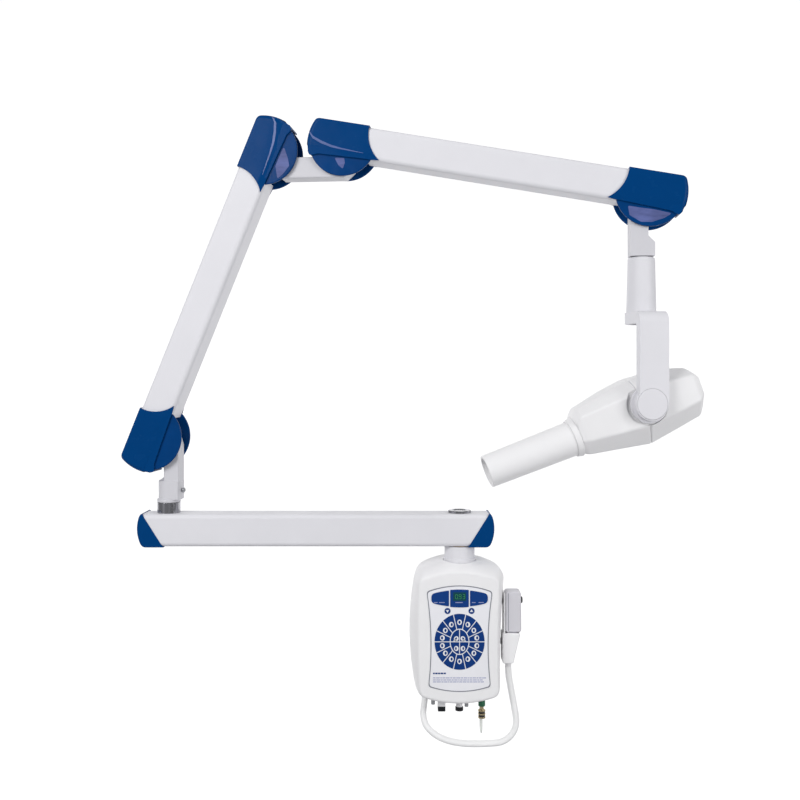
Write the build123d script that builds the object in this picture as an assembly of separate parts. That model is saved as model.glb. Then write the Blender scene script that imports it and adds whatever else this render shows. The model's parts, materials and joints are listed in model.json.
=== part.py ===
from build123d import *
import math
import os

# Wall-mounted intraoral x-ray unit: control box, swing arm, two scissor arms and a tubehead.
# Row frame: origin at the middle of the wall plate's back face, +Y into the wall, +Z up, +X to the
# viewer's right. The scissor arms stand in one upright plane, turned about the post by ARM_YAW.
# Shapes of that plane are drawn with x along the plane, y across it and z up, and then placed.

os.makedirs("parts", exist_ok=True)

# ---------------------------------------------------------------- driving dimensions (mm, degrees)
COLUMN_Y = -60.0            # the fixed column stands this far in front of the wall
POST_X = -581.0             # upright axis of the scissor arms' post
ARM_YAW = -6.0              # rest direction of the scissor plane about the post
HEAD_YAW = 12.4             # rest direction of the yoke about the head post, from the scissor plane

ARM_DEPTH = 65.0            # every arm is the same rectangular tube
ARM_ABOVE = 35.5            # tube above the pivots' line
ARM_BELOW = 28.0            # tube below it
ARM_WALL = 2.5
ARM_CORNER = 9.0
LOWER_ARM = 606.0           # pivot to pivot
UPPER_ARM = 594.0
LOWER_TILT = 67.5           # rest slopes above the level
UPPER_TILT = -10.35

SWING_LEFT, SWING_RIGHT = -622.0, 52.0
SWING_Z = (172.0, 236.0)
END_CAP_SKIN = 1.2

LOWER_PIVOT = (-31.0, 388.0)     # from the post's axis, in the scissor plane
LINK_STEP = (155.0, 14.0)        # from the lower arm's top pivot to the upper arm's
HEAD_AXIS_BACK = 14.0            # the head post stands this far behind the upper arm's end pivot

PIN_R = 8.0
RUN_FIT = 0.05                   # radial clearance of every turning fit
TONGUE_R = 34.5
TONGUE_HALF = 12.0               # half thickness of the castings between the cheeks
NECK_HALF = 22.0
CHEEK_R = 66.0
CHEEK_IN, CHEEK_OUT = 24.5, 29.7
HOOD_HALF = 35.4
HOOD_INNER = 32.7
HOOD_TOP = 38.0

ROD_CRANK = 20.0                 # pivot to crank pin, on the post, the link and the head knuckle
LOWER_CRANK_ANGLE = 140.0
UPPER_CRANK_ANGLE = 60.0
CRANK_PIN_R = 4.0
ROD_Y = (13.0, 19.0)
OPEN_PIVOT_GAP = 0.3             # play in the end of each tie rod where its loop is opened

TUBE_PIVOT_Z = 457.0             # tubehead pivot, above the row's origin
TUBE_PIVOT_X = -9.0              # from the head post's axis
TUBE_TILT = 20.5                 # the cone points this far below the level at rest
CONE_DROP = -18.0                # the cone's axis, from the tubehead pivot
CONE_START, CONE_END = 126.0, 316.0
CONE_BORE_R = 27.0
SHELL = 3.0

CORD_R = 6.5
WIRE_R = 1.6


# ---------------------------------------------------------------- shared shapes
def save(node, shape):
    shape.label = node
    export_step(shape, "parts/" + node + ".step")


def rod_y(radius, y0, y1, x=0.0, z=0.0):
    """A round bar along Y."""
    return Pos(x, (y0 + y1) / 2, z) * Rot(90, 0, 0) * Cylinder(radius, abs(y1 - y0))


def rod_x(radius, x0, x1, y=0.0, z=0.0):
    """A round bar along X."""
    return Pos((x0 + x1) / 2, y, z) * Rot(0, 90, 0) * Cylinder(radius, abs(x1 - x0))


def rod_z(radius, z0, z1, x=0.0, y=0.0):
    """A round bar along Z."""
    return Pos(x, y, (z0 + z1) / 2) * Cylinder(radius, abs(z1 - z0))


def block(x, y, z):
    """A box from its three (low, high) spans."""
    size = [b - a for a, b in (x, y, z)]
    middle = [(a + b) / 2 for a, b in (x, y, z)]
    return Pos(*middle) * Box(*size)


def plate_xz(outline, y0, y1):
    """A flat outline of (x, z) edges, extruded from y0 to y1."""
    face = make_face(outline)
    return extrude(Plane.XZ.offset(-y0) * face, amount=-(y1 - y0))


def polygon_xz(points, y0, y1):
    return plate_xz(Polyline(*points, close=True), y0, y1)


def box_tube(x0, x1, z0, z1, depth, wall, corner):
    """A rectangular tube with rounded corners, open at both ends."""
    outer = RectangleRounded(depth, z1 - z0, corner)
    inner = RectangleRounded(depth - 2 * wall, z1 - z0 - 2 * wall, corner - wall)
    tube = extrude(Plane.YZ * (outer - inner), amount=x1 - x0)
    return Pos(x0, 0, (z0 + z1) / 2) * tube


def cord_path(points):
    """Straight runs joined by arcs, each as large as its two runs allow."""
    vectors = [Vector(*p) for p in points]
    radii = []
    for before, here, after in zip(vectors, vectors[1:], vectors[2:]):
        turn = math.radians((here - before).get_angle(after - here))
        shorter = min((here - before).length, (after - here).length)
        radii.append(0.45 * shorter / math.tan(turn / 2))
    return FilletPolyline(*vectors, radius=radii), radii


def cord_tube(name, points, radius):
    path, radii = cord_path(points)
    edges = path.edges()
    section = Plane(edges[0] @ 0, z_dir=edges[0] % 0) * Circle(radius)
    tube = sweep(section, path=path)
    expected = math.pi * radius ** 2 * path.length
    print(name, "length", round(path.length, 1), "radii", [round(r) for r in radii],
          "volume ratio", round(tube.volume / expected, 4))
    return tube


# ---------------------------------------------------------------- frames of the moving parts
def from_tilt(start, length, tilt):
    angle = math.radians(tilt)
    return (start[0] + length * math.cos(angle), start[1] + length * math.sin(angle))


ELBOW_LOW = from_tilt(LOWER_PIVOT, LOWER_ARM, LOWER_TILT)
ELBOW_HIGH = (ELBOW_LOW[0] + LINK_STEP[0], ELBOW_LOW[1] + LINK_STEP[1])
HEAD_PIVOT = from_tilt(ELBOW_HIGH, UPPER_ARM, UPPER_TILT)
HEAD_AXIS = HEAD_PIVOT[0] - HEAD_AXIS_BACK

POST_FRAME = Pos(POST_X, COLUMN_Y, 0) * Rot(0, 0, ARM_YAW)
LOWER_FRAME = POST_FRAME * Pos(LOWER_PIVOT[0], 0, LOWER_PIVOT[1]) * Rot(0, -LOWER_TILT, 0)
LINK_FRAME = POST_FRAME * Pos(ELBOW_LOW[0], 0, ELBOW_LOW[1])
UPPER_FRAME = POST_FRAME * Pos(ELBOW_HIGH[0], 0, ELBOW_HIGH[1]) * Rot(0, -UPPER_TILT, 0)
HEAD_FRAME = POST_FRAME * Pos(HEAD_AXIS, 0, 0)
YOKE_FRAME = HEAD_FRAME * Rot(0, 0, HEAD_YAW)
TUBE_FRAME = YOKE_FRAME * Pos(TUBE_PIVOT_X, 0, TUBE_PIVOT_Z) * Rot(0, -TUBE_TILT, 0)


def crank(angle):
    """A crank pin's place from its pivot."""
    turn = math.radians(angle)
    return (ROD_CRANK * math.cos(turn), ROD_CRANK * math.sin(turn))


# ---------------------------------------------------------------- control box on the wall
# sections: heights of the corners, crown and base, then the left and right sides as (top, waist, foot)
BOX_BACK = dict(y=-1.0, heights=(122, 146, -112, -128), left=(-84, -96, -80), right=(81, 76, 77))
BOX_JOINT = dict(y=-76.0, heights=(122, 144, -118, -134.5), left=(-88, -100, -86), right=(88, 79.6, 80))
BOX_FRONT = dict(y=-112.0, heights=(112, 129, -116, -131), left=(-84, -86, -83), right=(78, 74, 76))
WAIST_Z = -20.0                  # height of the right side's waist; the left side bows out at Z 0


def box_section(y, heights, left, right, inset=0.0, corner=16.0):
    """One upright section of the box: arched top and base, bowed sides, rounded corners."""
    top, crown, foot, base = heights
    l_top, l_waist, l_foot = [x + inset for x in left]
    r_top, r_waist, r_foot = [x - inset for x in right]
    top, crown, foot, base = top - inset, crown - inset, foot + inset, base + inset
    outline = [
        ThreePointArc((l_top, top), ((l_top + r_top) / 2, crown), (r_top, top)),
        ThreePointArc((r_top, top), (r_waist, WAIST_Z), (r_foot, foot)),
        ThreePointArc((r_foot, foot), ((l_foot + r_foot) / 2, base), (l_foot, foot)),
        ThreePointArc((l_foot, foot), (l_waist, 0), (l_top, top)),
    ]
    face = make_face(outline)
    return Plane.XZ.offset(-y) * fillet(face.vertices(), corner - inset)


def moved(section, y):
    return dict(section, y=y)


def box_loft(near, far, inset=0.0):
    return loft([box_section(**near, inset=inset), box_section(**far, inset=inset)], ruled=True)


COLLAR_R, COLLAR_FLANGE_R, COLUMN_R = 30.0, 32.0, 20.0
COLLAR_HOLE = rod_z(COLLAR_FLANGE_R + 0.4, 100, 200, 0, COLUMN_Y)
SWITCH_X, FUSE_X, GROUND_X = -36.0, -0.5, 44.0
SWITCH_HALF = 7.5
SWITCH_Z = -159.0
ROCKER_PIVOT_Z = -155.0
FUSE_R, FUSE_Z = 6.5, -160.0
GROUND_R, GROUND_Z = 7.0, -173.0
GROUND_Y = -66.0
COVER_SCREWS = [                 # x, y, height of the seat, height of the head's underside
    (62.0, -22.0, -116.5, -119.5),
    (0.0, -22.0, -126.0, -129.0),
    (-53.0, -60.0, -122.0, -147.5),
    (14.0, -60.0, -128.5, -152.0),
]
GLAND = (-68.0, -26.0, -142.0)
GLAND_R = 8.5
CRADLE_FEET = [(-62.0, 60.0), (-62.0, -20.0)]
GROMMET = (44.0, -24.0)
FRONT_X = -3.0                   # middle of the keypad and display
OVERLAY_DEPTH = 1.0
PLATE_HOLES = (120.0, 180.0)


def overlay_outline(grow=0.0):
    """The keypad film's outline: arched top and base, sides drawn in at the waist."""
    tx, tz, wx, fx, fz = 64 + grow, 88 + grow, 56 + grow, 60.5 + grow, -96 - grow
    face = make_face([
        ThreePointArc((-tx, tz), (0, 100 + grow), (tx, tz)),
        ThreePointArc((tx, tz), (wx, 0), (fx, fz)),
        ThreePointArc((fx, fz), (0, -106 - grow), (-fx, fz)),
        ThreePointArc((-fx, fz), (-wx, 0), (-tx, tz)),
    ])
    return fillet(face.vertices(), 7)


def display_outline():
    face = make_face([
        ThreePointArc((-55.5, 84), (0, 92), (55.5, 84)),
        Line((55.5, 84), (55.5, 67)),
        ThreePointArc((55.5, 67), (0, 59), (-55.5, 67)),
        Line((-55.5, 67), (-55.5, 84)),
    ])
    return fillet(face.vertices(), 6)


def sheet_xz(face, y0, y1):
    return Pos(FRONT_X, 0, 0) * extrude(Plane.XZ.offset(-y0) * face, amount=-(y1 - y0))


def underside_cuts():
    cuts = block((SWITCH_X - 7.7, SWITCH_X + 7.7), (-71.2, -48.8), (-200, -60))
    cuts += rod_z(FUSE_R + 0.2, -200, -60, FUSE_X, COLUMN_Y)
    cuts += rod_z(GROUND_R + 0.2, -200, -60, GROUND_X, GROUND_Y)
    cuts += rod_z(4.2, -200, -60, *GROMMET)
    cuts += rod_z(GLAND_R - 1.9, -200, -60, GLAND[0], GLAND[1])
    for x, y, seat, _ in COVER_SCREWS:
        cuts += rod_z(4.4, -200, seat, x, y)
        cuts += rod_z(2.2, -200, -100, x, y)
    for y, z in CRADLE_FEET:
        cuts += rod_x(6.2, 60, 120, y, z)
    return cuts


def make_box():
    plate = block((-68, 68), (-5, 0), (-104, 116))
    for z in (-70.0, 100.0):
        plate += block((-30, 30), (-88, -4), (z, z + 12))
    plate -= rod_z(COLUMN_R, -200, 200, 0, COLUMN_Y)
    for x in (-PLATE_HOLES[0] / 2, PLATE_HOLES[0] / 2):
        for z in (-PLATE_HOLES[1] / 2, PLATE_HOLES[1] / 2):
            plate -= rod_y(3.5, -10, 5, x, z)
    save("wall_plate", plate)

    rear = box_loft(BOX_BACK, moved(BOX_JOINT, -75.9))
    rear -= box_loft(moved(BOX_BACK, 0.0), moved(BOX_JOINT, -77.0), inset=SHELL)
    core = box_loft(BOX_BACK, moved(BOX_JOINT, -75.9), inset=1.0)
    for x, y, seat, _ in COVER_SCREWS:
        rear += rod_z(7, seat - 8, seat + 10, x, y) & core
    rear -= COLLAR_HOLE
    rear -= underside_cuts()
    save("rear_shell", rear)

    front = box_loft(BOX_JOINT, BOX_FRONT)
    front -= box_loft(moved(BOX_JOINT, -75.0), moved(BOX_FRONT, -108.6), inset=SHELL)
    front -= COLLAR_HOLE
    front -= sheet_xz(overlay_outline(0.3), -120, -112 + OVERLAY_DEPTH)
    save("front_cover", front)

    save("keypad_overlay", sheet_xz(overlay_outline(), -112.3, -112 + OVERLAY_DEPTH))
    save("display_window", sheet_xz(display_outline(), -113.1, -112.3))

    board = block((-58, 58), (-102, -100.4), (-95, 92))
    for x in (-34, 0, 34):
        board += block((x - 11, x + 11), (-106, -101.8), (-60, -42))
    for x in (-52, 52):
        for z in (-84, 84):
            board += rod_y(3.5, -108.4, -101.8, x, z)
    save("control_board", board)
    power = block((-72, -36), (-66, -12), (-36, 54))
    power += block((-66, -42), (-12, -5), (-30, 48))
    save("power_module", power)


def make_column():
    column = rod_z(COLUMN_R, -70, 232, 0, COLUMN_Y) - rod_z(COLUMN_R - 4, -80, 240, 0, COLUMN_Y)
    save("support_column", column)
    collar = rod_z(COLLAR_R, 126, 170.4, 0, COLUMN_Y)
    collar += rod_z(COLLAR_FLANGE_R, 126, 147, 0, COLUMN_Y)
    collar -= rod_z(COLUMN_R, 100, 200, 0, COLUMN_Y)
    save("column_collar", collar)


def make_connections():
    x = SWITCH_X
    housing = block((x - SWITCH_HALF, x + SWITCH_HALF), (-71, -49), (SWITCH_Z, -112))
    housing -= block((x - 5.4, x + 5.4), (-69, -51), (SWITCH_Z - 5, SWITCH_Z + 9))
    housing -= rod_x(1.5 + RUN_FIT, x - 7, x + 7, COLUMN_Y, ROCKER_PIVOT_Z)
    save("switch_housing", housing)

    rocker = block((x - 5, x + 5), (-67.5, -52.5), (SWITCH_Z - 1, SWITCH_Z + 5))
    rocker -= Pos(x, -68.5, SWITCH_Z - 3) * Rot(14, 0, 0) * Box(20, 18, 4)
    rocker += rod_x(1.5, x - 6.8, x + 6.8, COLUMN_Y, ROCKER_PIVOT_Z)
    save("power_rocker", rocker)

    fuse = rod_z(FUSE_R, FUSE_Z + 7, -112, FUSE_X, COLUMN_Y)
    fuse += rod_z(8, FUSE_Z, FUSE_Z + 8, FUSE_X, COLUMN_Y)
    fuse -= Pos(FUSE_X, COLUMN_Y, FUSE_Z) * Box(9, 1.6, 3)
    save("fuse_holder", fuse)

    ground = rod_z(GROUND_R, GROUND_Z + 24, -112, GROUND_X, GROUND_Y)
    ground += rod_z(4, GROUND_Z + 16, GROUND_Z + 25, GROUND_X, GROUND_Y)
    ground += rod_z(7.6, GROUND_Z, GROUND_Z + 17, GROUND_X, GROUND_Y)
    save("ground_terminal", ground)

    grommet = rod_z(4.2, -136, -118, *GROMMET)
    save("wire_grommet", grommet)

    screws = []
    for sx, sy, seat, under in COVER_SCREWS:
        screw = rod_z(4, under, seat - 0.1, sx, sy) + rod_z(2, seat - 1, seat + 9.5, sx, sy)
        screws.append(screw - Pos(sx, sy, under) * Box(6, 1.2, 2))
    save("cover_screws", Compound(children=screws))

    x, y, z = GLAND
    gland = rod_z(GLAND_R + 2, z + 8, z + 14, x, y)
    gland += Pos(x, y, z + 4.5) * Cone(CORD_R + 0.8, GLAND_R, 9)
    gland += rod_z(GLAND_R - 2.1, z + 12, z + 34, x, y)
    save("cord_gland", gland)


# ---------------------------------------------------------------- exposure handset, cradle and leads
HANDSET_Y = (-89.0, -55.0)
HANDSET_X = (88.8, 120.6)
CRADLE_PLATE = (85.6, 88.4)
CORD_X, CORD_Y = 96.0, -72.0
BUTTON_R, BUTTON_Z = 6.5, 64.0
RELIEF_Z = (-68.0, -50.0)

CORD_ROUTE = [
    (CORD_X, CORD_Y, RELIEF_Z[0] - 0.3),
    (96.6, -72, -84),
    (99, -72.2, -99),
    (104, -73, -126),
    (109, -74, -154),
    (112.5, -75, -176),
    (108.8, -75.6, -193.7),
    (98.2, -76, -208.4),
    (82.6, -76.4, -217.7),
    (64.7, -76.3, -219.8),
    (36, -75.5, -221.5),
    (5, -73, -221.5),
    (-22, -68.5, -218.5),
    (-46, -60.5, -211),
    (-67, -47, -197),
    (-73, -33.5, -177),
    (-70, -27.5, -158),
    GLAND,
]
WIRE_ROUTE = [
    (GROUND_X, GROUND_Y, GROUND_Z),
    (44, -65.5, -187),
    (44, -61.5, -199),
    (44, -53.5, -207.5),
    (44, -43, -208.5),
    (44, -33.5, -202),
    (44, -27, -188),
    (44, -24, -168),
    (GROMMET[0], GROMMET[1], -136),
]


def make_handset():
    x0, x1 = HANDSET_X
    y0, y1 = HANDSET_Y
    p0, p1 = CRADLE_PLATE
    cradle = block((p0, p1), (y0 - 1.5, y1 + 1.5), (-58, 80))
    for y, z in CRADLE_FEET:
        cradle += rod_x(6, 76, p1 - 1, y, z)
    outer = [(83, 1.8), (118.6, 1.8), (104.6, -58), (83, -58)]
    inner = [(p1, 6), (117.6, 6), (101.4, -64), (p1, -64)]
    cradle += polygon_xz(outer, y0 - 2.6, y1 + 2.6)
    cradle -= polygon_xz(inner, y0 - 0.4, y1 + 0.4)
    cradle -= block((p1, 130), (y0 - 0.4, y1 + 0.4), (1.8, 100))
    save("handset_cradle", cradle)

    grip = polygon_xz([(x0, 1), (114, 1), (103, -50), (x0, -50)], y0 + 0.4, y1 - 0.4)
    head = block((x0, x1), (y0 + 0.2, y1 - 0.2), (2.4, 83.5))
    head = fillet(head.edges().filter_by(Axis.Z), 6)
    grip += head + block((x0 + 4, 112), (y0 + 4, y1 - 4), (-2, 6))
    grip -= rod_x(BUTTON_R + 0.2, 113, 130, CORD_Y, BUTTON_Z)
    save("handset_body", grip)
    save("handset_button", rod_x(BUTTON_R, 116, 124.2, CORD_Y, BUTTON_Z))

    z0, z1 = RELIEF_Z
    relief = Pos(CORD_X, CORD_Y, (z0 + z1) / 2) * Cone(CORD_R - 0.1, CORD_R - 0.6, z1 - z0)
    save("handset_strain_relief", relief)

    save("handset_cord", cord_tube("handset_cord", CORD_ROUTE, CORD_R))
    save("ground_wire", cord_tube("ground_wire", WIRE_ROUTE, WIRE_R))


# ---------------------------------------------------------------- swing arm
POST_TUBE_R, POST_TUBE_TOP = 23.0, 257.0
POST_BODY_R, POST_NECK_HALF = 20.0, 18.0
SPINDLE_R = 15.0
BUSH_R = 24.0


def end_cap(near, sign):
    """A cap over the end of the swing arm, with a slanting mouth; near is the arm's end."""
    z0, z1 = SWING_Z[0] - END_CAP_SKIN, SWING_Z[1] + END_CAP_SKIN
    half = ARM_DEPTH / 2 + END_CAP_SKIN
    outline = [
        Line((near - sign * 2, z1), (near + sign * 8, z1)),
        ThreePointArc((near + sign * 8, z1), (near + sign * 15, 206), (near + sign * 4, z0)),
        Line((near + sign * 4, z0), (near - sign * 34, z0)),
        Line((near - sign * 34, z0), (near - sign * 2, z1)),
    ]
    cap = plate_xz(outline, -half, half)
    tube = Plane.YZ * RectangleRounded(ARM_DEPTH + 0.4, z1 - z0 - 2 * END_CAP_SKIN + 0.4, ARM_CORNER)
    room = extrude(tube, amount=-sign * 80)
    cap -= Pos(near + sign * 0.2, 0, (z0 + z1) / 2) * room
    return Pos(0, COLUMN_Y, 0) * cap


def make_swing_arm():
    z0, z1 = SWING_Z
    arm = box_tube(SWING_LEFT, SWING_RIGHT, z0, z1, ARM_DEPTH, ARM_WALL, ARM_CORNER)
    arm -= rod_z(BUSH_R + 0.1, z0 - 5, z0 + 10)
    arm -= rod_z(COLUMN_R + 1, z1 - 10, z1 + 5)
    arm -= rod_z(POST_TUBE_R + 0.1, z1 - 10, z1 + 5, POST_X)
    save("swing_arm_tube", Pos(0, COLUMN_Y, 0) * arm)

    save("swing_cap_outer", end_cap(SWING_LEFT, -1))
    inner_cap = end_cap(SWING_RIGHT, 1) - rod_z(BUSH_R + 0.6, z0 - 5, z0 + 5, 0, COLUMN_Y)
    save("swing_cap_inner", inner_cap)

    bush = rod_z(BUSH_R, z0 - 1, z1 - ARM_WALL - 0.2, 0, COLUMN_Y)
    bush -= rod_z(COLUMN_R + RUN_FIT, z0 - 5, z1 + 5, 0, COLUMN_Y)
    save("column_bushing", bush)
    cap = rod_z(POST_TUBE_R, z1 + 0.1, z1 + 3.2, 0, COLUMN_Y)
    cap += rod_z(COLUMN_R + 0.6, z1 - 2, z1 + 1, 0, COLUMN_Y)
    cap -= rod_z(13, z1 + 1.8, z1 + 5, 0, COLUMN_Y)
    save("column_cap", cap)

    post = rod_z(POST_TUBE_R, z0 + ARM_WALL + 0.1, POST_TUBE_TOP, POST_X, COLUMN_Y)
    post -= rod_z(SPINDLE_R + 3, z0, POST_TUBE_TOP + 5, POST_X, COLUMN_Y)
    save("post_tube", post)
    bushing = rod_z(SPINDLE_R + 3, z0 + ARM_WALL + 0.1, POST_TUBE_TOP - 0.5, POST_X, COLUMN_Y)
    bushing -= rod_z(SPINDLE_R + RUN_FIT, z0, POST_TUBE_TOP + 5, POST_X, COLUMN_Y)
    save("post_bushing", bushing)


# ---------------------------------------------------------------- castings: post, link, head knuckle
def tongue(x, z):
    return rod_y(TONGUE_R, -TONGUE_HALF, TONGUE_HALF, x, z)


def pin_bore(x, z):
    return rod_y(PIN_R + RUN_FIT, -40, 40, x, z)


def crank_pin(x, z, angle):
    dx, dz = crank(angle)
    return rod_y(CRANK_PIN_R, TONGUE_HALF - 4, ROD_Y[1] + 1, x + dx, z + dz)


def make_post_knuckle():
    px, pz = LOWER_PIVOT
    knuckle = tongue(px, pz)
    knuckle += polygon_xz([(-5, 294), (-5, 380), (1, 396), (18, 396), (25.5, 371), (25.5, 294)],
                          -POST_NECK_HALF, POST_NECK_HALF)
    knuckle += block((px + 5, 12), (-TONGUE_HALF, TONGUE_HALF), (pz - 16, pz + 14))
    knuckle += polygon_xz([(-16, 296), (-16, 301), (-4, 312), (0, 312), (0, 296)], -11, 11)
    body = make_face([
        Line((0, -POST_BODY_R), (26, -POST_BODY_R)),
        Line((26, -POST_BODY_R), (26, POST_BODY_R)),
        Line((26, POST_BODY_R), (0, POST_BODY_R)),
        ThreePointArc((0, POST_BODY_R), (-POST_BODY_R, 0), (0, -POST_BODY_R)),
    ])
    body = extrude(Pos(0, 0, 262) * body, amount=38)
    knuckle += fillet(body.edges().filter_by(Axis.Z).group_by(Axis.X)[-1], 6)
    knuckle += rod_z(POST_TUBE_R, POST_TUBE_TOP + 0.4, 264)
    knuckle -= pin_bore(px, pz)
    knuckle -= rod_z(SPINDLE_R, 200, 290)
    knuckle += crank_pin(px, pz, LOWER_CRANK_ANGLE)
    save("post_knuckle", POST_FRAME * knuckle)
    save("post_spindle", POST_FRAME * rod_z(SPINDLE_R, 182, 289.8))
    screw = rod_x(5, 26.1, 33, 0, 281) - rod_x(2.4, 30, 36, 0, 281)
    save("lock_screw", POST_FRAME * screw)


def make_elbow_link():
    x, z = LINK_STEP
    link = tongue(0, 0) + tongue(x, z)
    bar = polygon_xz([(26, -12), (x - 22, -12), (x - 12, -22), (x + 14, -26), (x + 22, -38),
                      (x + 4, -56), (30, -56)], -NECK_HALF, NECK_HALF)
    link += bar + block((x - 22, x + 14), (-TONGUE_HALF, TONGUE_HALF), (-30, 8))
    link -= pin_bore(0, 0)
    link -= pin_bore(x, z)
    link += crank_pin(0, 0, LOWER_CRANK_ANGLE)
    link += crank_pin(x, z, UPPER_CRANK_ANGLE)
    save("elbow_link", LINK_FRAME * link)


HEAD_BLOCK_R = 24.5
HEAD_BLOCK_Z = (735.2, 760.0)
STEM_R = 16.0
SLEEVE_TOP, SLEEVE_BOTTOM = 733.5, 628.2


def make_head_knuckle():
    pz = HEAD_PIVOT[1]
    px = HEAD_AXIS_BACK
    knuckle = tongue(px, pz)
    knuckle += polygon_xz([(-23, 758), (23, 758), (10.5, 773), (10.5, 834), (-23, 834)],
                          -NECK_HALF, NECK_HALF)
    knuckle += rod_z(HEAD_BLOCK_R, *HEAD_BLOCK_Z)
    knuckle -= pin_bore(px, pz)
    knuckle -= rod_z(STEM_R, 700, 775)
    knuckle += crank_pin(px, pz, UPPER_CRANK_ANGLE)
    save("head_knuckle", HEAD_FRAME * knuckle)
    save("swivel_stem", HEAD_FRAME * rod_z(STEM_R, 640, 774.8))


# ---------------------------------------------------------------- scissor arms
def arm_tube(length):
    """The arm's tube, with a clevis ear round each pin."""
    half = ARM_DEPTH / 2
    tube = box_tube(36, length - 36, -ARM_BELOW, ARM_ABOVE, ARM_DEPTH, ARM_WALL, ARM_CORNER)
    for x, sign in ((0, 1), (length, -1)):
        room = rod_y(CHEEK_R + 0.8, -(half - ARM_WALL) + 0.05, half - ARM_WALL - 0.05, x, 0)
        tube -= room & block((x - 80, x + 80), (-40, 40), (-80, ARM_ABOVE - ARM_WALL - 0.2))
        for side in (-1, 1):
            y0, y1 = sorted((side * (half - ARM_WALL), side * half))
            reach = sorted((x, x + sign * 44))
            ear = rod_y(ARM_BELOW - 0.5, y0, y1, x, 0) + block(reach, (y0, y1), (-14, 23.5))
            tube += ear
        tube -= rod_y(PIN_R, -half - 1, half + 1, x, 0)
    return tube


def hood():
    """A hood over an arm's end: the pivot is at the origin and the arm runs along +X."""
    outline = [
        Line((-58, HOOD_TOP), (47.5, HOOD_TOP)),
        ThreePointArc((47.5, HOOD_TOP), (54.5, 1), (77.5, -25)),
        Line((77.5, -25), (62, -27)),
        Line((62, -27), (-64, -27)),
        ThreePointArc((-64, -27), (-68.5, 2), (-58, HOOD_TOP)),
    ]
    room = [
        ThreePointArc((-60.5, -40), (-66.3, 2), (-55.7, HOOD_TOP - 2.3)),
        Line((-55.7, HOOD_TOP - 2.3), (100, HOOD_TOP - 2.3)),
        Line((100, HOOD_TOP - 2.3), (100, -40)),
        Line((100, -40), (-60.5, -40)),
    ]
    shape = plate_xz(outline, -HOOD_HALF, HOOD_HALF)
    shape -= plate_xz(room, -HOOD_INNER, HOOD_INNER)
    for side in (-1, 1):
        cheek = rod_y(CHEEK_R, *sorted((side * CHEEK_IN, side * CHEEK_OUT)))
        cheek &= block((-80, 80), (-40, 40), (-80, ARM_ABOVE - ARM_WALL - 0.6))
        joining = rod_y(CHEEK_R, *sorted((side * (CHEEK_OUT - 1), side * (HOOD_INNER + 0.5))))
        joining &= block((-80, -28), (-40, 40), (-26.9, ARM_ABOVE - ARM_WALL - 0.6))
        shape += cheek + joining
    shape -= rod_y(PIN_R + 0.4, -31, 31)
    return shape


def tie_rod(length, angle, tilt):
    """The levelling rod inside an arm, drawn in the arm's frame at rest."""
    turn = math.radians(angle - tilt)
    x, z = ROD_CRANK * math.cos(turn), ROD_CRANK * math.sin(turn)
    bar = block((x, x + length), ROD_Y, (z - 4, z + 4))
    bar += rod_y(7.5, *ROD_Y, x, z) + rod_y(7.5, *ROD_Y, x + length, z)
    bar -= rod_y(CRANK_PIN_R + RUN_FIT, 0, 40, x, z)
    bar -= rod_y(CRANK_PIN_R + OPEN_PIVOT_GAP, 0, 40, x + length, z)
    return bar


def balance_spring(x0, x1):
    """The closed-wound spring on its rod, as the tube that its coil fills."""
    return rod_x(15, x0, x1, -12, 3) - rod_x(10.5, x0 - 5, x1 + 5, -12, 3)


def spring_rod(x0, x1):
    """A rod with a flange under the spring and an anchor plate fixed across the tube."""
    rod = rod_x(6, x0, x1, -12, 3) + rod_x(16, x0, x0 + 5, -12, 3)
    return rod + block((x1 - 6, x1), (-29.8, 10), (-13, 23))


def make_arm(name, frame, length, angle, tilt):
    save(name + "_arm_tube", frame * arm_tube(length))
    save(name + "_arm_near_hood", frame * hood())
    save(name + "_arm_far_hood", frame * Pos(length, 0, 0) * mirror(hood(), Plane.YZ))
    pins = [rod_y(PIN_R, -ARM_DEPTH / 2, ARM_DEPTH / 2, x, 0) for x in (0, length)]
    save(name + "_arm_pins", frame * Compound(children=pins))
    save(name + "_tie_rod", frame * tie_rod(length, angle, tilt))
    save(name + "_balance_spring", frame * balance_spring(105.1, 404))
    save(name + "_spring_rod", frame * spring_rod(100, 410))


# ---------------------------------------------------------------- yoke and tubehead
YOKE_X, YOKE_HALF = -5.0, 27.5       # middle of the arm from the head post's axis, half its width
YOKE_CAP_R = 28.5
YOKE_BOSS_R = 35.5
YOKE_FRONT, YOKE_BACK = -84.0, -64.0
YOKE_BRIDGE_Z = (606.0, 628.0)
TRUNNION_R = 11.0


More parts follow.
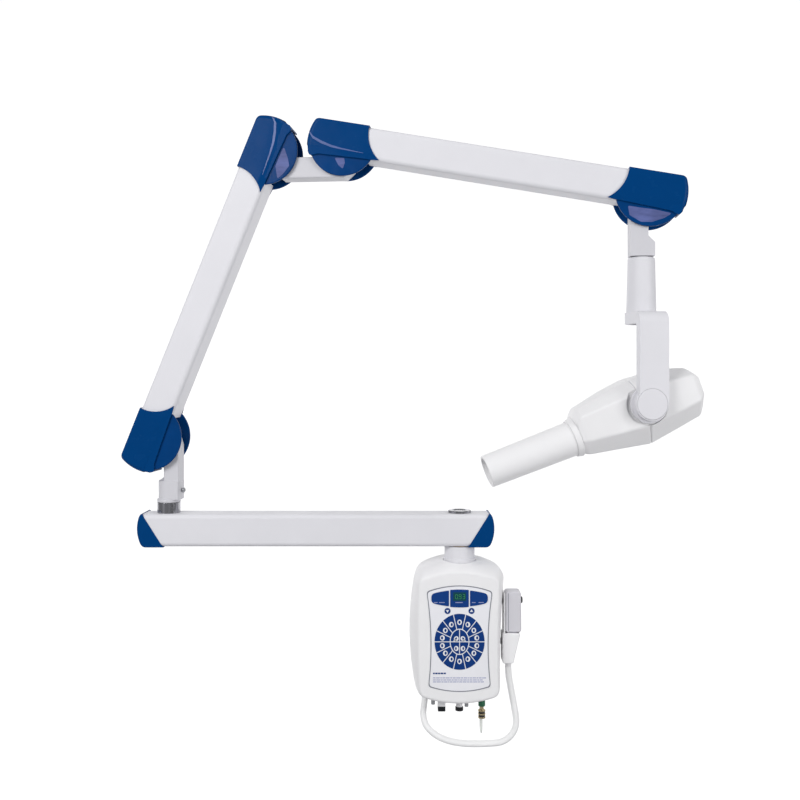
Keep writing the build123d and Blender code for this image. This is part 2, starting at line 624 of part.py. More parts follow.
def make_yoke():
    chamfer_z = SLEEVE_TOP - 4
    middle = (chamfer_z + SLEEVE_BOTTOM) / 2
    sleeve = Pos(0, 0, middle) * Cone(28, 25.6, chamfer_z - SLEEVE_BOTTOM)
    sleeve += Pos(0, 0, SLEEVE_TOP - 2) * Cone(25.6, 23, 4)
    sleeve -= rod_z(STEM_R + RUN_FIT, 600, 800)
    save("swivel_sleeve", YOKE_FRAME * sleeve)

    z0, z1 = YOKE_BRIDGE_Z
    side = make_face([
        Line((YOKE_FRONT, TUBE_PIVOT_Z), (YOKE_FRONT, z1 - 20)),
        ThreePointArc((YOKE_FRONT, z1 - 20), (YOKE_FRONT + 5.9, z1 - 5.9), (YOKE_FRONT + 20, z1)),
        Line((YOKE_FRONT + 20, z1), (0, z1)),
        Line((0, z1), (0, z0)),
        Line((0, z0), (YOKE_BACK, z0)),
        Line((YOKE_BACK, z0), (YOKE_BACK, TUBE_PIVOT_Z)),
        Line((YOKE_BACK, TUBE_PIVOT_Z), (YOKE_FRONT, TUBE_PIVOT_Z)),
    ])
    yoke = Pos(YOKE_X - YOKE_HALF, 0, 0) * extrude(Plane.YZ * side, amount=2 * YOKE_HALF)
    yoke += rod_z(29, z0, z1)
    yoke += rod_y(YOKE_CAP_R + 2, YOKE_FRONT, YOKE_BACK, TUBE_PIVOT_X, TUBE_PIVOT_Z)
    yoke += rod_y(YOKE_BOSS_R, YOKE_BACK - 6, YOKE_BACK, TUBE_PIVOT_X, TUBE_PIVOT_Z)
    yoke -= rod_y(YOKE_CAP_R + 0.2, YOKE_FRONT - 1, YOKE_FRONT + 4, TUBE_PIVOT_X, TUBE_PIVOT_Z)
    yoke -= rod_y(TRUNNION_R + RUN_FIT, -100, -50, TUBE_PIVOT_X, TUBE_PIVOT_Z)
    save("yoke_arm", YOKE_FRAME * yoke)
    cap = rod_y(YOKE_CAP_R, YOKE_FRONT - 1, YOKE_FRONT + 3.6, TUBE_PIVOT_X, TUBE_PIVOT_Z)
    save("yoke_pivot_cap", YOKE_FRAME * cap)


# stations of the housing: x from the pivot (the cone points to -x), half depth, top, base
HOUSING = [
    (-133.0, 34.0, 20.5, -51.5),
    (-122.0, 40.0, 33.5, -56.5),
    (-60.0, 56.0, 44.5, -67.5),
    (-8.0, 60.0, 50.5, -77.5),
    (64.0, 60.0, 44.5, -67.5),
    (102.0, 54.0, 33.5, -62.5),
    (114.0, 48.0, 20.5, -45.5),
]


def housing_section(station, inset=0.0):
    """An eight-sided section with a tall flat front, wide bevels and a flat top and base."""
    x, half, top, base = station
    half, top, base = half - inset, top - inset, base + inset
    flat_top, flat_base = top * 0.55, base * 0.5
    edge = half * 0.45
    points = [
        (-half, flat_base), (-half, flat_top), (-edge, top), (edge, top),
        (half, flat_top), (half, flat_base), (edge, base), (-edge, base),
    ]
    plane = Plane(origin=(x, 0, 0), x_dir=(0, 1, 0), z_dir=(1, 0, 0))
    return plane * make_face(Polyline(*points, close=True))


def housing_solid(stations, inset=0.0):
    return loft([housing_section(s, inset) for s in stations], ruled=True)


def shifted(station, dx):
    return (station[0] + dx,) + station[1:]


def make_tubehead():
    seam = HOUSING[3]
    front_stations = HOUSING[:3] + [shifted(seam, -0.2)]
    rear_stations = [shifted(seam, 0.2)] + HOUSING[4:]
    front_room = [shifted(HOUSING[0], SHELL)] + HOUSING[1:3] + [shifted(seam, 5)]
    rear_room = [shifted(seam, -5)] + HOUSING[4:6] + [shifted(HOUSING[6], -SHELL)]
    recess = rod_y(40, -70, -52)
    trunnion_hole = rod_y(TRUNNION_R, -70, -40)
    front = housing_solid(front_stations) - housing_solid(front_room, SHELL)
    front += rod_y(43, -58, -49) & block((-43, seam[0] - 0.2), (-70, 0), (-43, 43))
    front -= recess
    front -= trunnion_hole
    front -= rod_x(CONE_BORE_R + 7.4, -150, -110, 0, CONE_DROP)
    save("housing_front", TUBE_FRAME * front)
    rear = housing_solid(rear_stations) - housing_solid(rear_room, SHELL)
    rear += rod_y(43, -58, -49) & block((seam[0] + 0.2, 43), (-70, 0), (-43, 43))
    rear -= recess
    rear -= trunnion_hole
    save("housing_rear", TUBE_FRAME * rear)

    length = CONE_END - CONE_START
    cone = Pos(-(CONE_START + CONE_END) / 2, 0, CONE_DROP) * Rot(0, -90, 0) * Cone(33.5, 31, length)
    cone += rod_x(33.5, -CONE_START - 1, -CONE_START + 16, 0, CONE_DROP)
    cone -= rod_x(CONE_BORE_R, -CONE_END - 5, -100, 0, CONE_DROP)
    save("beam_cone", TUBE_FRAME * cone)
    collar = Pos(-138.6, 0, CONE_DROP) * Rot(0, -90, 0) * Cone(38.5, 36, 10.8)
    collar -= rod_x(33.7, -150, -100, 0, CONE_DROP)
    save("cone_collar", TUBE_FRAME * collar)
    diaphragm = rod_x(33, -109.8, -106, 0, CONE_DROP) - rod_x(18, -120, -100, 0, CONE_DROP)
    save("lead_diaphragm", TUBE_FRAME * diaphragm)

    tube = rod_y(20, -34, 40, -52, CONE_DROP) + rod_y(12, 38, 48, -52, CONE_DROP)
    tube += rod_x(14, -75, -52, 0, CONE_DROP)
    save("xray_tube", TUBE_FRAME * tube)
    transformer = block((20, 84), (-38, 38), (-46, 20)) + block((30, 74), (-42, 44), (-34, 8))
    save("hv_transformer", TUBE_FRAME * transformer)
    trunnion = rod_y(TRUNNION_R, YOKE_FRONT + 4.5, -44)
    trunnion += rod_y(24, -63.6, -52.2)
    trunnion += rod_y(18, -48.8, -44)
    save("tubehead_trunnion", TUBE_FRAME * trunnion)


make_box()
make_column()
make_connections()
make_handset()
make_swing_arm()
make_post_knuckle()
make_arm("lower", LOWER_FRAME, LOWER_ARM, LOWER_CRANK_ANGLE, LOWER_TILT)
make_elbow_link()
make_arm("upper", UPPER_FRAME, UPPER_ARM, UPPER_CRANK_ANGLE, UPPER_TILT)
make_head_knuckle()
make_yoke()
make_tubehead()
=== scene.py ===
import bpy
import bmesh
import json
from math import asin, atan2, copysign, cos, hypot, pi, radians, sin, sqrt, tan, tau
from mathutils import Matrix, Vector


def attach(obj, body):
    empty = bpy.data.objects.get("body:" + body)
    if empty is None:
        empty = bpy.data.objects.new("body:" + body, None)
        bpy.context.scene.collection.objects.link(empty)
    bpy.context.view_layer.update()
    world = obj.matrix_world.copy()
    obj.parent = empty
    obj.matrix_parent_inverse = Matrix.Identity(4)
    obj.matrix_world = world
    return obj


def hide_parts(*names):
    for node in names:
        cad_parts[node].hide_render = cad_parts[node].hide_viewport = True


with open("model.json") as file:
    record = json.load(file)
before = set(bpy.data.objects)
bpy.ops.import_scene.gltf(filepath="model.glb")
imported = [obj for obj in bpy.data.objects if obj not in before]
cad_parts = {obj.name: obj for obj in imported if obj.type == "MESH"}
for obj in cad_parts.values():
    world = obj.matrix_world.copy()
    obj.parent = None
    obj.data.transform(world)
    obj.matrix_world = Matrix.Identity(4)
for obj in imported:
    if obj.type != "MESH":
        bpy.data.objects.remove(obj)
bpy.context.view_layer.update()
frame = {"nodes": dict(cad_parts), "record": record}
NODES = frame["nodes"]
MM = 0.001
scene = bpy.context.scene


def in_scene(name, data):
    """A new object that shows the data."""
    obj = bpy.data.objects.new(name, data)
    scene.collection.objects.link(obj)
    return obj


# ---------------- camera
camera = in_scene("camera", bpy.data.cameras.new("camera"))
camera.location = (-0.119, -2.060, 0.507)
camera.rotation_euler = (radians(90), 0, 0)
camera.data.lens = 45.0
camera.data.sensor_width = 36.0
camera.data.shift_y = -0.029
camera.data.clip_start = 0.05
camera.data.clip_end = 60.0
bpy.context.scene.camera = camera
scene.view_settings.view_transform = "Standard"


# ---------------- materials
MATERIALS = {}
NOISE_LOW, NOISE_HIGH = 0.3, 0.7  # most of a noise's values lie between these
RELIEF_DEPTH = 0.0004  # metres


def material(slot, colour, rough, bump, metallic=0.0, spread=0.06, mottle=0.03, mottle_scale=14.0,
             grain=900.0, stretch=(1, 1, 1), specular=0.5):
    """A surface with slow colour drift, uneven gloss and fine relief, all from noise.

    spread is how far the roughness strays, and mottle how far the colour does, as a share of it.
    """
    mat = bpy.data.materials.new(slot)
    mat.use_nodes = True
    tree = mat.node_tree
    shader = tree.nodes["Principled BSDF"]
    shader.inputs["Metallic"].default_value = metallic
    shader.inputs["Specular IOR Level"].default_value = specular
    coords = tree.nodes.new("ShaderNodeTexCoord")
    scale = tree.nodes.new("ShaderNodeMapping")
    scale.inputs["Scale"].default_value = stretch
    tree.links.new(coords.outputs["Object"], scale.inputs["Vector"])

    def noise(size, detail):
        node = tree.nodes.new("ShaderNodeTexNoise")
        node.inputs["Scale"].default_value = size
        node.inputs["Detail"].default_value = detail
        tree.links.new(scale.outputs["Vector"], node.inputs["Vector"])
        return node.outputs["Fac"]

    drift = noise(mottle_scale, 3.0)
    ramp = tree.nodes.new("ShaderNodeValToRGB")
    stops = zip(ramp.color_ramp.elements, (NOISE_LOW, NOISE_HIGH), (1 - mottle, 1 + mottle))
    for stop, position, share in stops:
        stop.position = position
        stop.color = [min(1, c * share) for c in colour] + [1]
    tree.links.new(drift, ramp.inputs["Fac"])
    tree.links.new(ramp.outputs["Color"], shader.inputs["Base Color"])

    gloss = tree.nodes.new("ShaderNodeMapRange")
    gloss.inputs["From Min"].default_value = NOISE_LOW
    gloss.inputs["From Max"].default_value = NOISE_HIGH
    gloss.inputs["To Min"].default_value = max(0.02, rough - spread)
    gloss.inputs["To Max"].default_value = rough + spread
    tree.links.new(noise(mottle_scale * 4, 4.0), gloss.inputs["Value"])
    tree.links.new(gloss.outputs["Result"], shader.inputs["Roughness"])

    relief = tree.nodes.new("ShaderNodeBump")
    relief.inputs["Strength"].default_value = bump
    relief.inputs["Distance"].default_value = RELIEF_DEPTH
    tree.links.new(noise(grain, 2.0), relief.inputs["Height"])
    tree.links.new(relief.outputs["Normal"], shader.inputs["Normal"])
    MATERIALS[slot] = mat
    return mat


material("white_plastic", (0.90, 0.895, 0.905), 0.40, mottle=0.012, bump=0.05, specular=0.2)
material("grey_plastic", (0.66, 0.65, 0.69), 0.44, mottle=0.02, bump=0.09, specular=0.2)
material("white_paint", (0.77, 0.765, 0.80), 0.45, mottle=0.012, grain=650, bump=0.09, specular=0.12)
material("blue_plastic", (0.0003, 0.047, 0.185), 0.24, bump=0.02, specular=0.05)
# the discs' blue; its blotches are a painted sheen
material("blue_painted_sheen", (0.0008, 0.044, 0.178), 0.22, mottle=0.12, mottle_scale=16.0, bump=0.02,
         specular=0.08)
# lavender patches on the front discs: painted reflections
material("blue_painted_glint", (0.11, 0.135, 0.32), 0.30, mottle=0.28, mottle_scale=30.0, bump=0.02,
         stretch=(0.6, 1.0, 2.2), specular=0.1)
# a lighter blue bead along a hood's crease: a painted highlight
material("blue_crease_highlight", (0.085, 0.130, 0.330), 0.25, mottle=0.15, bump=0.02, specular=0.3)
# its colour runs in thin upright streaks, light and dark: painted reflections
material("chrome", (0.42, 0.42, 0.45), 0.16, metallic=1.0, spread=0.04, mottle=0.75,
         mottle_scale=110.0, bump=0.02, stretch=(1, 1, 0.02))
material("steel", (0.45, 0.46, 0.48), 0.34, metallic=1.0, mottle=0.05, grain=400, bump=0.12,
         stretch=(1, 1, 12))
material("bronze", (0.55, 0.37, 0.17), 0.36, metallic=1.0, mottle=0.06, bump=0.1)
material("casting_darker", (0.66, 0.655, 0.69), 0.45, mottle=0.015, grain=500, bump=0.12, specular=0.12)
material("overlay_film", (0.88, 0.88, 0.92), 0.48, mottle=0.015, grain=1500, bump=0.1, specular=0.3)
material("display_lens", (0.004, 0.045, 0.22), 0.16, mottle=0.02, bump=0.01, specular=0.25)
material("circuit_board", (0.01, 0.13, 0.05), 0.4, mottle=0.1, bump=0.1)
material("iron_core", (0.09, 0.09, 0.10), 0.55, metallic=0.6, mottle=0.15, bump=0.3)
material("black_plastic", (0.010, 0.012, 0.014), 0.42, mottle=0.1, bump=0.12, specular=0.3)
material("brass", (0.52, 0.43, 0.27), 0.30, metallic=1.0, mottle=0.10, bump=0.08)
material("rubber", (0.018, 0.018, 0.02), 0.65, mottle=0.1, bump=0.15)
material("cord_jacket", (0.97, 0.97, 0.97), 0.45, mottle=0.02, bump=0.08, specular=0.3)
material("wire_jacket", (0.84, 0.87, 0.83), 0.45, mottle=0.05, bump=0.05)
material("lead", (0.16, 0.17, 0.18), 0.6, metallic=0.8, mottle=0.1, bump=0.2)
material("tube_glass", (0.62, 0.68, 0.66), 0.08, mottle=0.02, bump=0.01)
material("print_blue", (0.002, 0.038, 0.20), 0.40, mottle=0.04, grain=1500, bump=0.08, specular=0.2)
material("print_white", (0.82, 0.83, 0.86), 0.45, mottle=0.02, grain=1500, bump=0.08)
material("print_grey", (0.20, 0.21, 0.25), 0.45, mottle=0.04, grain=1500, bump=0.08)
material("print_pale", (0.26, 0.29, 0.50), 0.45, mottle=0.06, grain=1500, bump=0.08)
material("digit_green", (0.035, 0.30, 0.07), 0.40, mottle=0.05, bump=0.02)
material("lcd_back", (0.006, 0.060, 0.085), 0.20, mottle=0.04, bump=0.01, specular=0.2)
material("terminal_green", (0.02, 0.14, 0.07), 0.40, mottle=0.10, bump=0.08)
material("floor", (0.45, 0.45, 0.46), 0.75, mottle=0.008, mottle_scale=1.5, grain=60, bump=0.05)
wall_paint = material("backdrop", (0.50, 0.50, 0.50), 0.80, mottle=0.008, mottle_scale=1.5, grain=60,
                      bump=0.05)
wall_shader = wall_paint.node_tree.nodes["Principled BSDF"]
wall_shader.inputs["Emission Color"].default_value = (1, 1, 1, 1)
wall_shader.inputs["Emission Strength"].default_value = 0.75

NODE_SLOT = {part["node"]: part["material_slot"] for part in frame["record"]["subparts"]}
for node, obj in NODES.items():
    obj.data.materials.clear()
    obj.data.materials.append(MATERIALS[NODE_SLOT[node]])


# ---------------- cords
def cord(name, node, route_mm, radius, slot):
    """A round cord along a given route, in place of the CAD's."""
    curve = bpy.data.curves.new(name, "CURVE")
    curve.dimensions = "3D"
    curve.bevel_depth = radius * MM
    curve.bevel_resolution = 6
    curve.resolution_u = 10
    curve.use_fill_caps = True
    spline = curve.splines.new("NURBS")
    spline.points.add(len(route_mm) - 1)
    for point, (x, y, z) in zip(spline.points, route_mm):
        point.co = (x * MM, y * MM, z * MM, 1)
    spline.order_u = 3
    spline.use_endpoint_u = True
    obj = in_scene(name, curve)
    curve.materials.append(MATERIALS[slot])
    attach(obj, "wall_unit")
    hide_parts(node)
    return obj


HANDSET_ROUTE = [
    (96, -72, -68.3), (96.6, -72, -84), (99, -72.2, -99), (104, -73, -126), (109, -74, -154),
    (112.5, -75, -176), (108.8, -75.6, -193.7), (98.2, -76, -208.4), (82.6, -76.4, -217.7),
    (64.7, -76.3, -219.8), (36, -75.5, -221.5), (5, -73, -221.5), (-22, -68.5, -218.5),
    (-46, -60.5, -211), (-67, -47, -197), (-73, -33.5, -177), (-70, -27.5, -158), (-68, -26, -142),
]
WIRE_ROUTE = [
    (44, -66, -173), (44, -65.5, -187), (44, -61.5, -199), (44, -53.5, -207.5), (44, -43, -208.5),
    (44, -33.5, -202), (44, -27, -188), (44, -24, -168), (44, -24, -136),
]
handset_cord = cord("handset_lead", "handset_cord", HANDSET_ROUTE, 6.5, "cord_jacket")
ground_wire = cord("ground_lead", "ground_wire", WIRE_ROUTE, 1.6, "wire_jacket")


# ---------------- frames, as the CAD has them (mm)
def shift(x, y, z):
    return Matrix.Translation((x, y, z))


def turn(degrees, axis):
    return Matrix.Rotation(radians(degrees), 4, axis)


POST_X, COLUMN_Y, POST_YAW = -581.0, -60.0, -6.0
LOWER_ARM, UPPER_ARM = 606.0, 594.0  # pivot to pivot
LOWER_TILT, UPPER_TILT = 67.5, -10.35
LOWER_PIVOT = (-31.0, 388.0)  # X and Z from the post
LINK_STEP = (155.0, 14.0)  # between the elbow's two pivots
CRANK = 20.0  # from a pivot to its crank pin
LOWER_CRANK_ANGLE, UPPER_CRANK_ANGLE = 140.0, 60.0
HEAD_AXIS_BACK, HEAD_YAW = 14.0, 12.4
TUBE_PIVOT, TUBE_TILT = (-9.0, 457.0), 20.5
CONE_DROP = -18.0  # the cone's axis, from the tubehead's pivot


def tilted(start, length, tilt):
    """The end, in X and Z, of a line that rises by tilt from start."""
    a = radians(tilt)
    return (start[0] + length * cos(a), start[1] + length * sin(a))


ELBOW_LOW = tilted(LOWER_PIVOT, LOWER_ARM, LOWER_TILT)
ELBOW_HIGH = (ELBOW_LOW[0] + LINK_STEP[0], ELBOW_LOW[1] + LINK_STEP[1])
HEAD_PIVOT = tilted(ELBOW_HIGH, UPPER_ARM, UPPER_TILT)
HEAD_AXIS = HEAD_PIVOT[0] - HEAD_AXIS_BACK

ROW = Matrix.Identity(4)
COLUMN = shift(0, COLUMN_Y, 0)
POST = shift(POST_X, COLUMN_Y, 0) @ turn(POST_YAW, "Z")
LOWER = POST @ shift(LOWER_PIVOT[0], 0, LOWER_PIVOT[1]) @ turn(-LOWER_TILT, "Y")
LINK = POST @ shift(ELBOW_LOW[0], 0, ELBOW_LOW[1])
UPPER = POST @ shift(ELBOW_HIGH[0], 0, ELBOW_HIGH[1]) @ turn(-UPPER_TILT, "Y")
HEAD = POST @ shift(HEAD_AXIS, 0, 0)
YOKE = HEAD @ turn(HEAD_YAW, "Z")
TUBE = YOKE @ shift(TUBE_PIVOT[0], 0, TUBE_PIVOT[1]) @ turn(-TUBE_TILT, "Y")
CONE = TUBE @ shift(0, 0, CONE_DROP)


# ---------------- mesh building, in mm
def skin(rings, closed=False):
    """Quads between rings of equally many points; capped at both ends, or closed on itself."""
    bm = bmesh.new()
    made = [[bm.verts.new(p) for p in ring] for ring in rings]
    pairs = list(zip(made, made[1:]))
    if closed:
        pairs.append((made[-1], made[0]))
    for a, b in pairs:
        for i in range(len(a)):
            j = (i + 1) % len(a)
            bm.faces.new((a[i], a[j], b[j], b[i]))
    if not closed:
        bm.faces.new(made[0])
        bm.faces.new(made[-1])
    bmesh.ops.recalc_face_normals(bm, faces=bm.faces)
    return bm


def lathe(profile, axis="Z", at=(0, 0), steps=72, closed=False):
    """Turns (radius, height) points about an axis through at, a point across that axis."""
    rings = []
    for radius, height in profile:
        ring = []
        for i in range(steps):
            a = tau * i / steps
            u, v = at[0] + radius * cos(a), at[1] + radius * sin(a)
            ring.append({"Z": (u, v, height), "Y": (u, height, v), "X": (height, u, v)}[axis])
        rings.append(ring)
    return skin(rings, closed=closed)


RIM_STEPS = 4  # in a disc's rounded rim


def disc_profile(radius, low, high, soft):
    """The profile of a disc with rounded rims."""
    turns = [pi / 2 * i / RIM_STEPS for i in range(RIM_STEPS + 1)]
    base = [(radius - soft + soft * sin(a), low + soft - soft * cos(a)) for a in turns]
    top = [(radius - soft + soft * cos(a), high - soft + soft * sin(a)) for a in turns]
    return base + top


def disc(radius, low, high, axis="Z", at=(0, 0), soft=0.6, steps=72):
    """A disc with rounded rims, between two levels along its axis."""
    return lathe(disc_profile(radius, low, high, soft), axis, at, steps)


def arc(p0, p1, p2, n=16):
    """Points on the circle through three points, from the first to the last."""
    (ax, ay), (bx, by), (cx, cy) = p0, p1, p2
    d = 2 * (ax * (by - cy) + bx * (cy - ay) + cx * (ay - by))
    a2, b2, c2 = ax * ax + ay * ay, bx * bx + by * by, cx * cx + cy * cy
    ux = (a2 * (by - cy) + b2 * (cy - ay) + c2 * (ay - by)) / d
    uy = (a2 * (cx - bx) + b2 * (ax - cx) + c2 * (bx - ax)) / d
    r = hypot(ax - ux, ay - uy)
    t0, t1, t2 = [atan2(y - uy, x - ux) for x, y in (p0, p1, p2)]
    mid, end = (t1 - t0) % tau, (t2 - t0) % tau
    if mid > end:
        end -= tau
    return [(ux + r * cos(t0 + end * i / n), uy + r * sin(t0 + end * i / n))
            for i in range(n + 1)]


def corner(a, b, c, n=6):
    """A soft corner at b, from a to c."""
    out = []
    for k in range(n + 1):
        t = k / n
        out.append(tuple(a[i] * (1 - t) ** 2 + b[i] * 2 * t * (1 - t) + c[i] * t ** 2 for i in (0, 1)))
    return out


def rectangle(x0, x1, z0, z1):
    return [(x0, z0), (x1, z0), (x1, z1), (x0, z1)]


LEAST_BEND = radians(20)  # corners that bend less than this stay as they are
MOST_OF_EDGE = 0.45  # the largest share of an edge that a rounding takes


def rounded(points, radius, steps=5):
    """The outline with each real corner rounded."""
    out = []
    n = len(points)
    for i, p in enumerate(points):
        here = Vector(p)
        before, after = Vector(points[i - 1]) - here, Vector(points[(i + 1) % n]) - here
        bend = pi - before.angle(after)
        if bend < LEAST_BEND:
            out.append(p)
            continue
        cut = min(radius * tan(bend / 2), MOST_OF_EDGE * before.length, MOST_OF_EDGE * after.length)
        out += corner(here + before.normalized() * cut, here, here + after.normalized() * cut, steps)
    return out


def from_arcs(ways, steps, cut, n):
    """An outline of arcs, each through three points, with cut points off either side of soft corners."""
    sides = [arc(*way, steps) for way in ways]
    out = []
    for this, following in zip(sides, sides[1:] + sides[:1]):
        kept = this[cut:-cut]
        out += kept + corner(kept[-1], this[-1], following[cut], n)[1:-1]
    return out


def band(outer, inner, low, high):
    """A flat ring across Y between two outlines of equally many points."""
    levels = ((outer, low), (outer, high), (inner, high), (inner, low))
    return skin([[(x, y, z) for x, z in outline] for outline, y in levels], closed=True)


def area(points):
    """The outline's area, above zero where it runs anticlockwise."""
    return sum(a[0] * b[1] - b[0] * a[1] for a, b in zip(points, points[1:] + points[:1])) / 2


NEARLY_STRAIGHT = 0.08  # sine of a bend too small for moved edges to cross


def drawn_in(points, amounts):
    """An anticlockwise outline with each edge moved inward by its own amount."""
    out = []
    n = len(points)
    for i, p in enumerate(points):
        here = Vector(p)
        e0, e1 = here - Vector(points[i - 1]), Vector(points[(i + 1) % n]) - here
        n0, n1 = Vector((-e0.y, e0.x)).normalized(), Vector((-e1.y, e1.x)).normalized()
        d0, d1 = amounts[i - 1], amounts[i]
        cross = n0.x * n1.y - n0.y * n1.x
        if abs(cross) < NEARLY_STRAIGHT:
            q = here + (n0 + n1).normalized() * (d0 + d1) / 2
        else:
            q = here + Vector((d0 * n1.y - d1 * n0.y, d1 * n0.x - d0 * n1.x)) / cross
        out.append((q.x, q.y))
    return out


def slab(points, low, high, soft=2.0, axis="Y", steps=5):
    """An outline given thickness, its rims rounded by soft: a number, or a function of an edge's middle."""
    points = list(points)
    if area(points) < 0:
        points.reverse()
    n = len(points)
    middles = [((points[i][0] + points[(i + 1) % n][0]) / 2,
                (points[i][1] + points[(i + 1) % n][1]) / 2) for i in range(n)]
    radii = [soft(*m) if callable(soft) else soft for m in middles]
    largest = max(radii + [1e-6])
    depths = [largest * (1 - cos(pi / 2 * k / steps)) for k in range(steps + 1)]
    rings = []

    def ring(depth, level):
        amounts = [r - sqrt(max(0.0, r * r - (r - depth) ** 2)) if depth < r else 0.0
                   for r in radii]
        edge = drawn_in(points, amounts) if any(amounts) else points
        place = {"Y": lambda u, v: (u, level, v), "X": lambda u, v: (level, u, v),
                 "Z": lambda u, v: (u, v, level)}[axis]
        rings.append([place(u, v) for u, v in edge])

    for depth in depths:
        ring(depth, low + depth)
    for depth in reversed(depths):
        ring(depth, high - depth)
    return skin(rings)


def flat(outline, low, high):
    """An outline given thickness along Y, with sharp edges."""
    return slab(outline, low, high, 0.0, steps=1)


def cuboid(x, y, z, soft):
    """A box with rounded edges, from its two ends along each axis."""
    outline = rounded(rectangle(*x, *y), soft * 1.6, 4)
    return slab(outline, z[0], z[1], soft, axis="Z", steps=4)


def block(x, y, z):
    """A plain sharp box, for cutting."""
    return skin([[(u, v, level) for u, v in rectangle(*x, *y)] for level in z])


def temporary(bm):
    """An object to put modifiers on."""
    mesh = bpy.data.meshes.new("temporary")
    bm.to_mesh(mesh)
    return in_scene("temporary", mesh)


def baked(obj):
    """The object's mesh with its modifiers applied; the object is dropped."""
    bpy.context.view_layer.update()
    depsgraph = bpy.context.evaluated_depsgraph_get()
    mesh = bpy.data.meshes.new_from_object(obj.evaluated_get(depsgraph))
    bpy.data.objects.remove(obj)
    return mesh


def shape_of(mesh):
    """The mesh as a bmesh; the mesh is dropped."""
    out = bmesh.new()
    out.from_mesh(mesh)
    bpy.data.meshes.remove(mesh)
    return out


def boolean(bm, tools, operation="DIFFERENCE"):
    """bm with each tool cut away, joined on, or kept in common."""
    obj = temporary(bm)
    tool_objects = [temporary(t) for t in tools]
    for tool in tool_objects:
        modifier = obj.modifiers.new("cut", "BOOLEAN")
        modifier.operation = operation
        modifier.solver = "EXACT"
        modifier.object = tool
    mesh = baked(obj)
    for tool in tool_objects:
        bpy.data.objects.remove(tool)
    return shape_of(mesh)


def bevelled(bm, width, segments, limit):
    """bm with its edges rounded where they bend by more than limit, in degrees."""
    obj = temporary(bm)
    modifier = obj.modifiers.new("bevel", "BEVEL")
    modifier.width = width
    modifier.segments = segments
    modifier.limit_method = "ANGLE"
    modifier.angle_limit = radians(limit)
    return shape_of(baked(obj))


SHARP = radians(32)  # edges that bend more than this are shaded sharp
FACE_WEIGHT = 60  # how much large faces rule the shading


def piece(name, body, slot, place, solids, node, extra=()):
    """One object from closed shapes in mm, in place, riding its body and standing for a CAD node.

    extra is a list of (slot, solids) in other materials.
    """
    joined = bmesh.new()
    groups = [(slot, solids), *extra]
    for index, (_, group) in enumerate(groups):
        for bm in group:
            for face in bm.faces:
                face.smooth = True
                face.material_index = index
            part = bpy.data.meshes.new("part")
            bm.to_mesh(part)
            bm.free()
            joined.from_mesh(part)
            bpy.data.meshes.remove(part)
    mesh = bpy.data.meshes.new(name)
    joined.to_mesh(mesh)
    joined.free()
    mesh.transform(Matrix.Scale(MM, 4) @ place)
    mesh.set_sharp_from_angle(angle=SHARP)
    for group_slot, _ in groups:
        mesh.materials.append(MATERIALS[group_slot])
    rough = in_scene(name, mesh)
    weighted = rough.modifiers.new("normals", "WEIGHTED_NORMAL")
    weighted.keep_sharp = True
    weighted.weight = FACE_WEIGHT
    final = baked(rough)
    final.name = name
    obj = in_scene(name, final)
    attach(obj, body)
    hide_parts(node)


# ---------------- arms
ARM_HALF, ARM_LOW, ARM_HIGH = 32.5, -28.0, 35.5  # every arm is the same rectangular tube
ARM_CORNER, ARM_WALL = 9.0, 2.5
CORNER_STEPS = 8
ARM_RAKE = 16.0  # how far a scissor arm's ends slope in, clear of the castings
PIVOT_TO_TUBE = 36.0


def round_rect(half, low, high, radius):
    """A tube's section, as (y, z) points."""
    corners = [(-half + radius, low + radius, 180), (half - radius, low + radius, 270),
               (half - radius, high - radius, 0), (-half + radius, high - radius, 90)]
    out = []
    for cy, cz, start in corners:
        for i in range(CORNER_STEPS + 1):
            a = radians(start + 90 * i / CORNER_STEPS)
            out.append((cy + radius * cos(a), cz + radius * sin(a)))
    return out


def square_tube(x0, x1, low=ARM_LOW, high=ARM_HIGH, rake=0.0):
    """A box section from x0 to x1. Its ends slope in by rake, from its top to its base."""
    outer = round_rect(ARM_HALF, low, high, ARM_CORNER)
    inner = round_rect(ARM_HALF - ARM_WALL, low + ARM_WALL, high - ARM_WALL, ARM_CORNER - ARM_WALL)
    rings = [[(x + way * rake * (high - z) / (high - low), y, z) for y, z in section]
             for section, x, way in ((outer, x0, 1), (outer, x1, -1), (inner, x1, -1), (inner, x0, 1))]
    return skin(rings, closed=True)


# a hood, in its arm's own X and Z from the pivot; its end is at low X and its mouth at high X
HOOD_HALF, HOOD_TOP, HOOD_LOW = 35.6, 38.0, -27.0
HOOD_ROOM_HALF, HOOD_ROOM_TOP = 32.7, 35.7
CHEEK_R = 66.0
CREASE_X, CREASE_Z = -30, -13  # where the crease turns up, and its height up to there
TURN_UP = (0.5, 0.87)  # X and Z of the normal to the stretch that turns up
FALL_BACK, MOST_FALL = 0.13, 1.9  # how fast a side face falls back below the crease, and how far


def hood_rim(x, z):
    """How far each edge of the hood is rounded: most at its end, least at its mouth and base."""
    if z < HOOD_LOW + 1:
        return 0.5
    if x > 46:
        return 0.6
    return 3.6 + 4.8 * min(1.0, max(0.0, (-48 - x) / 12))


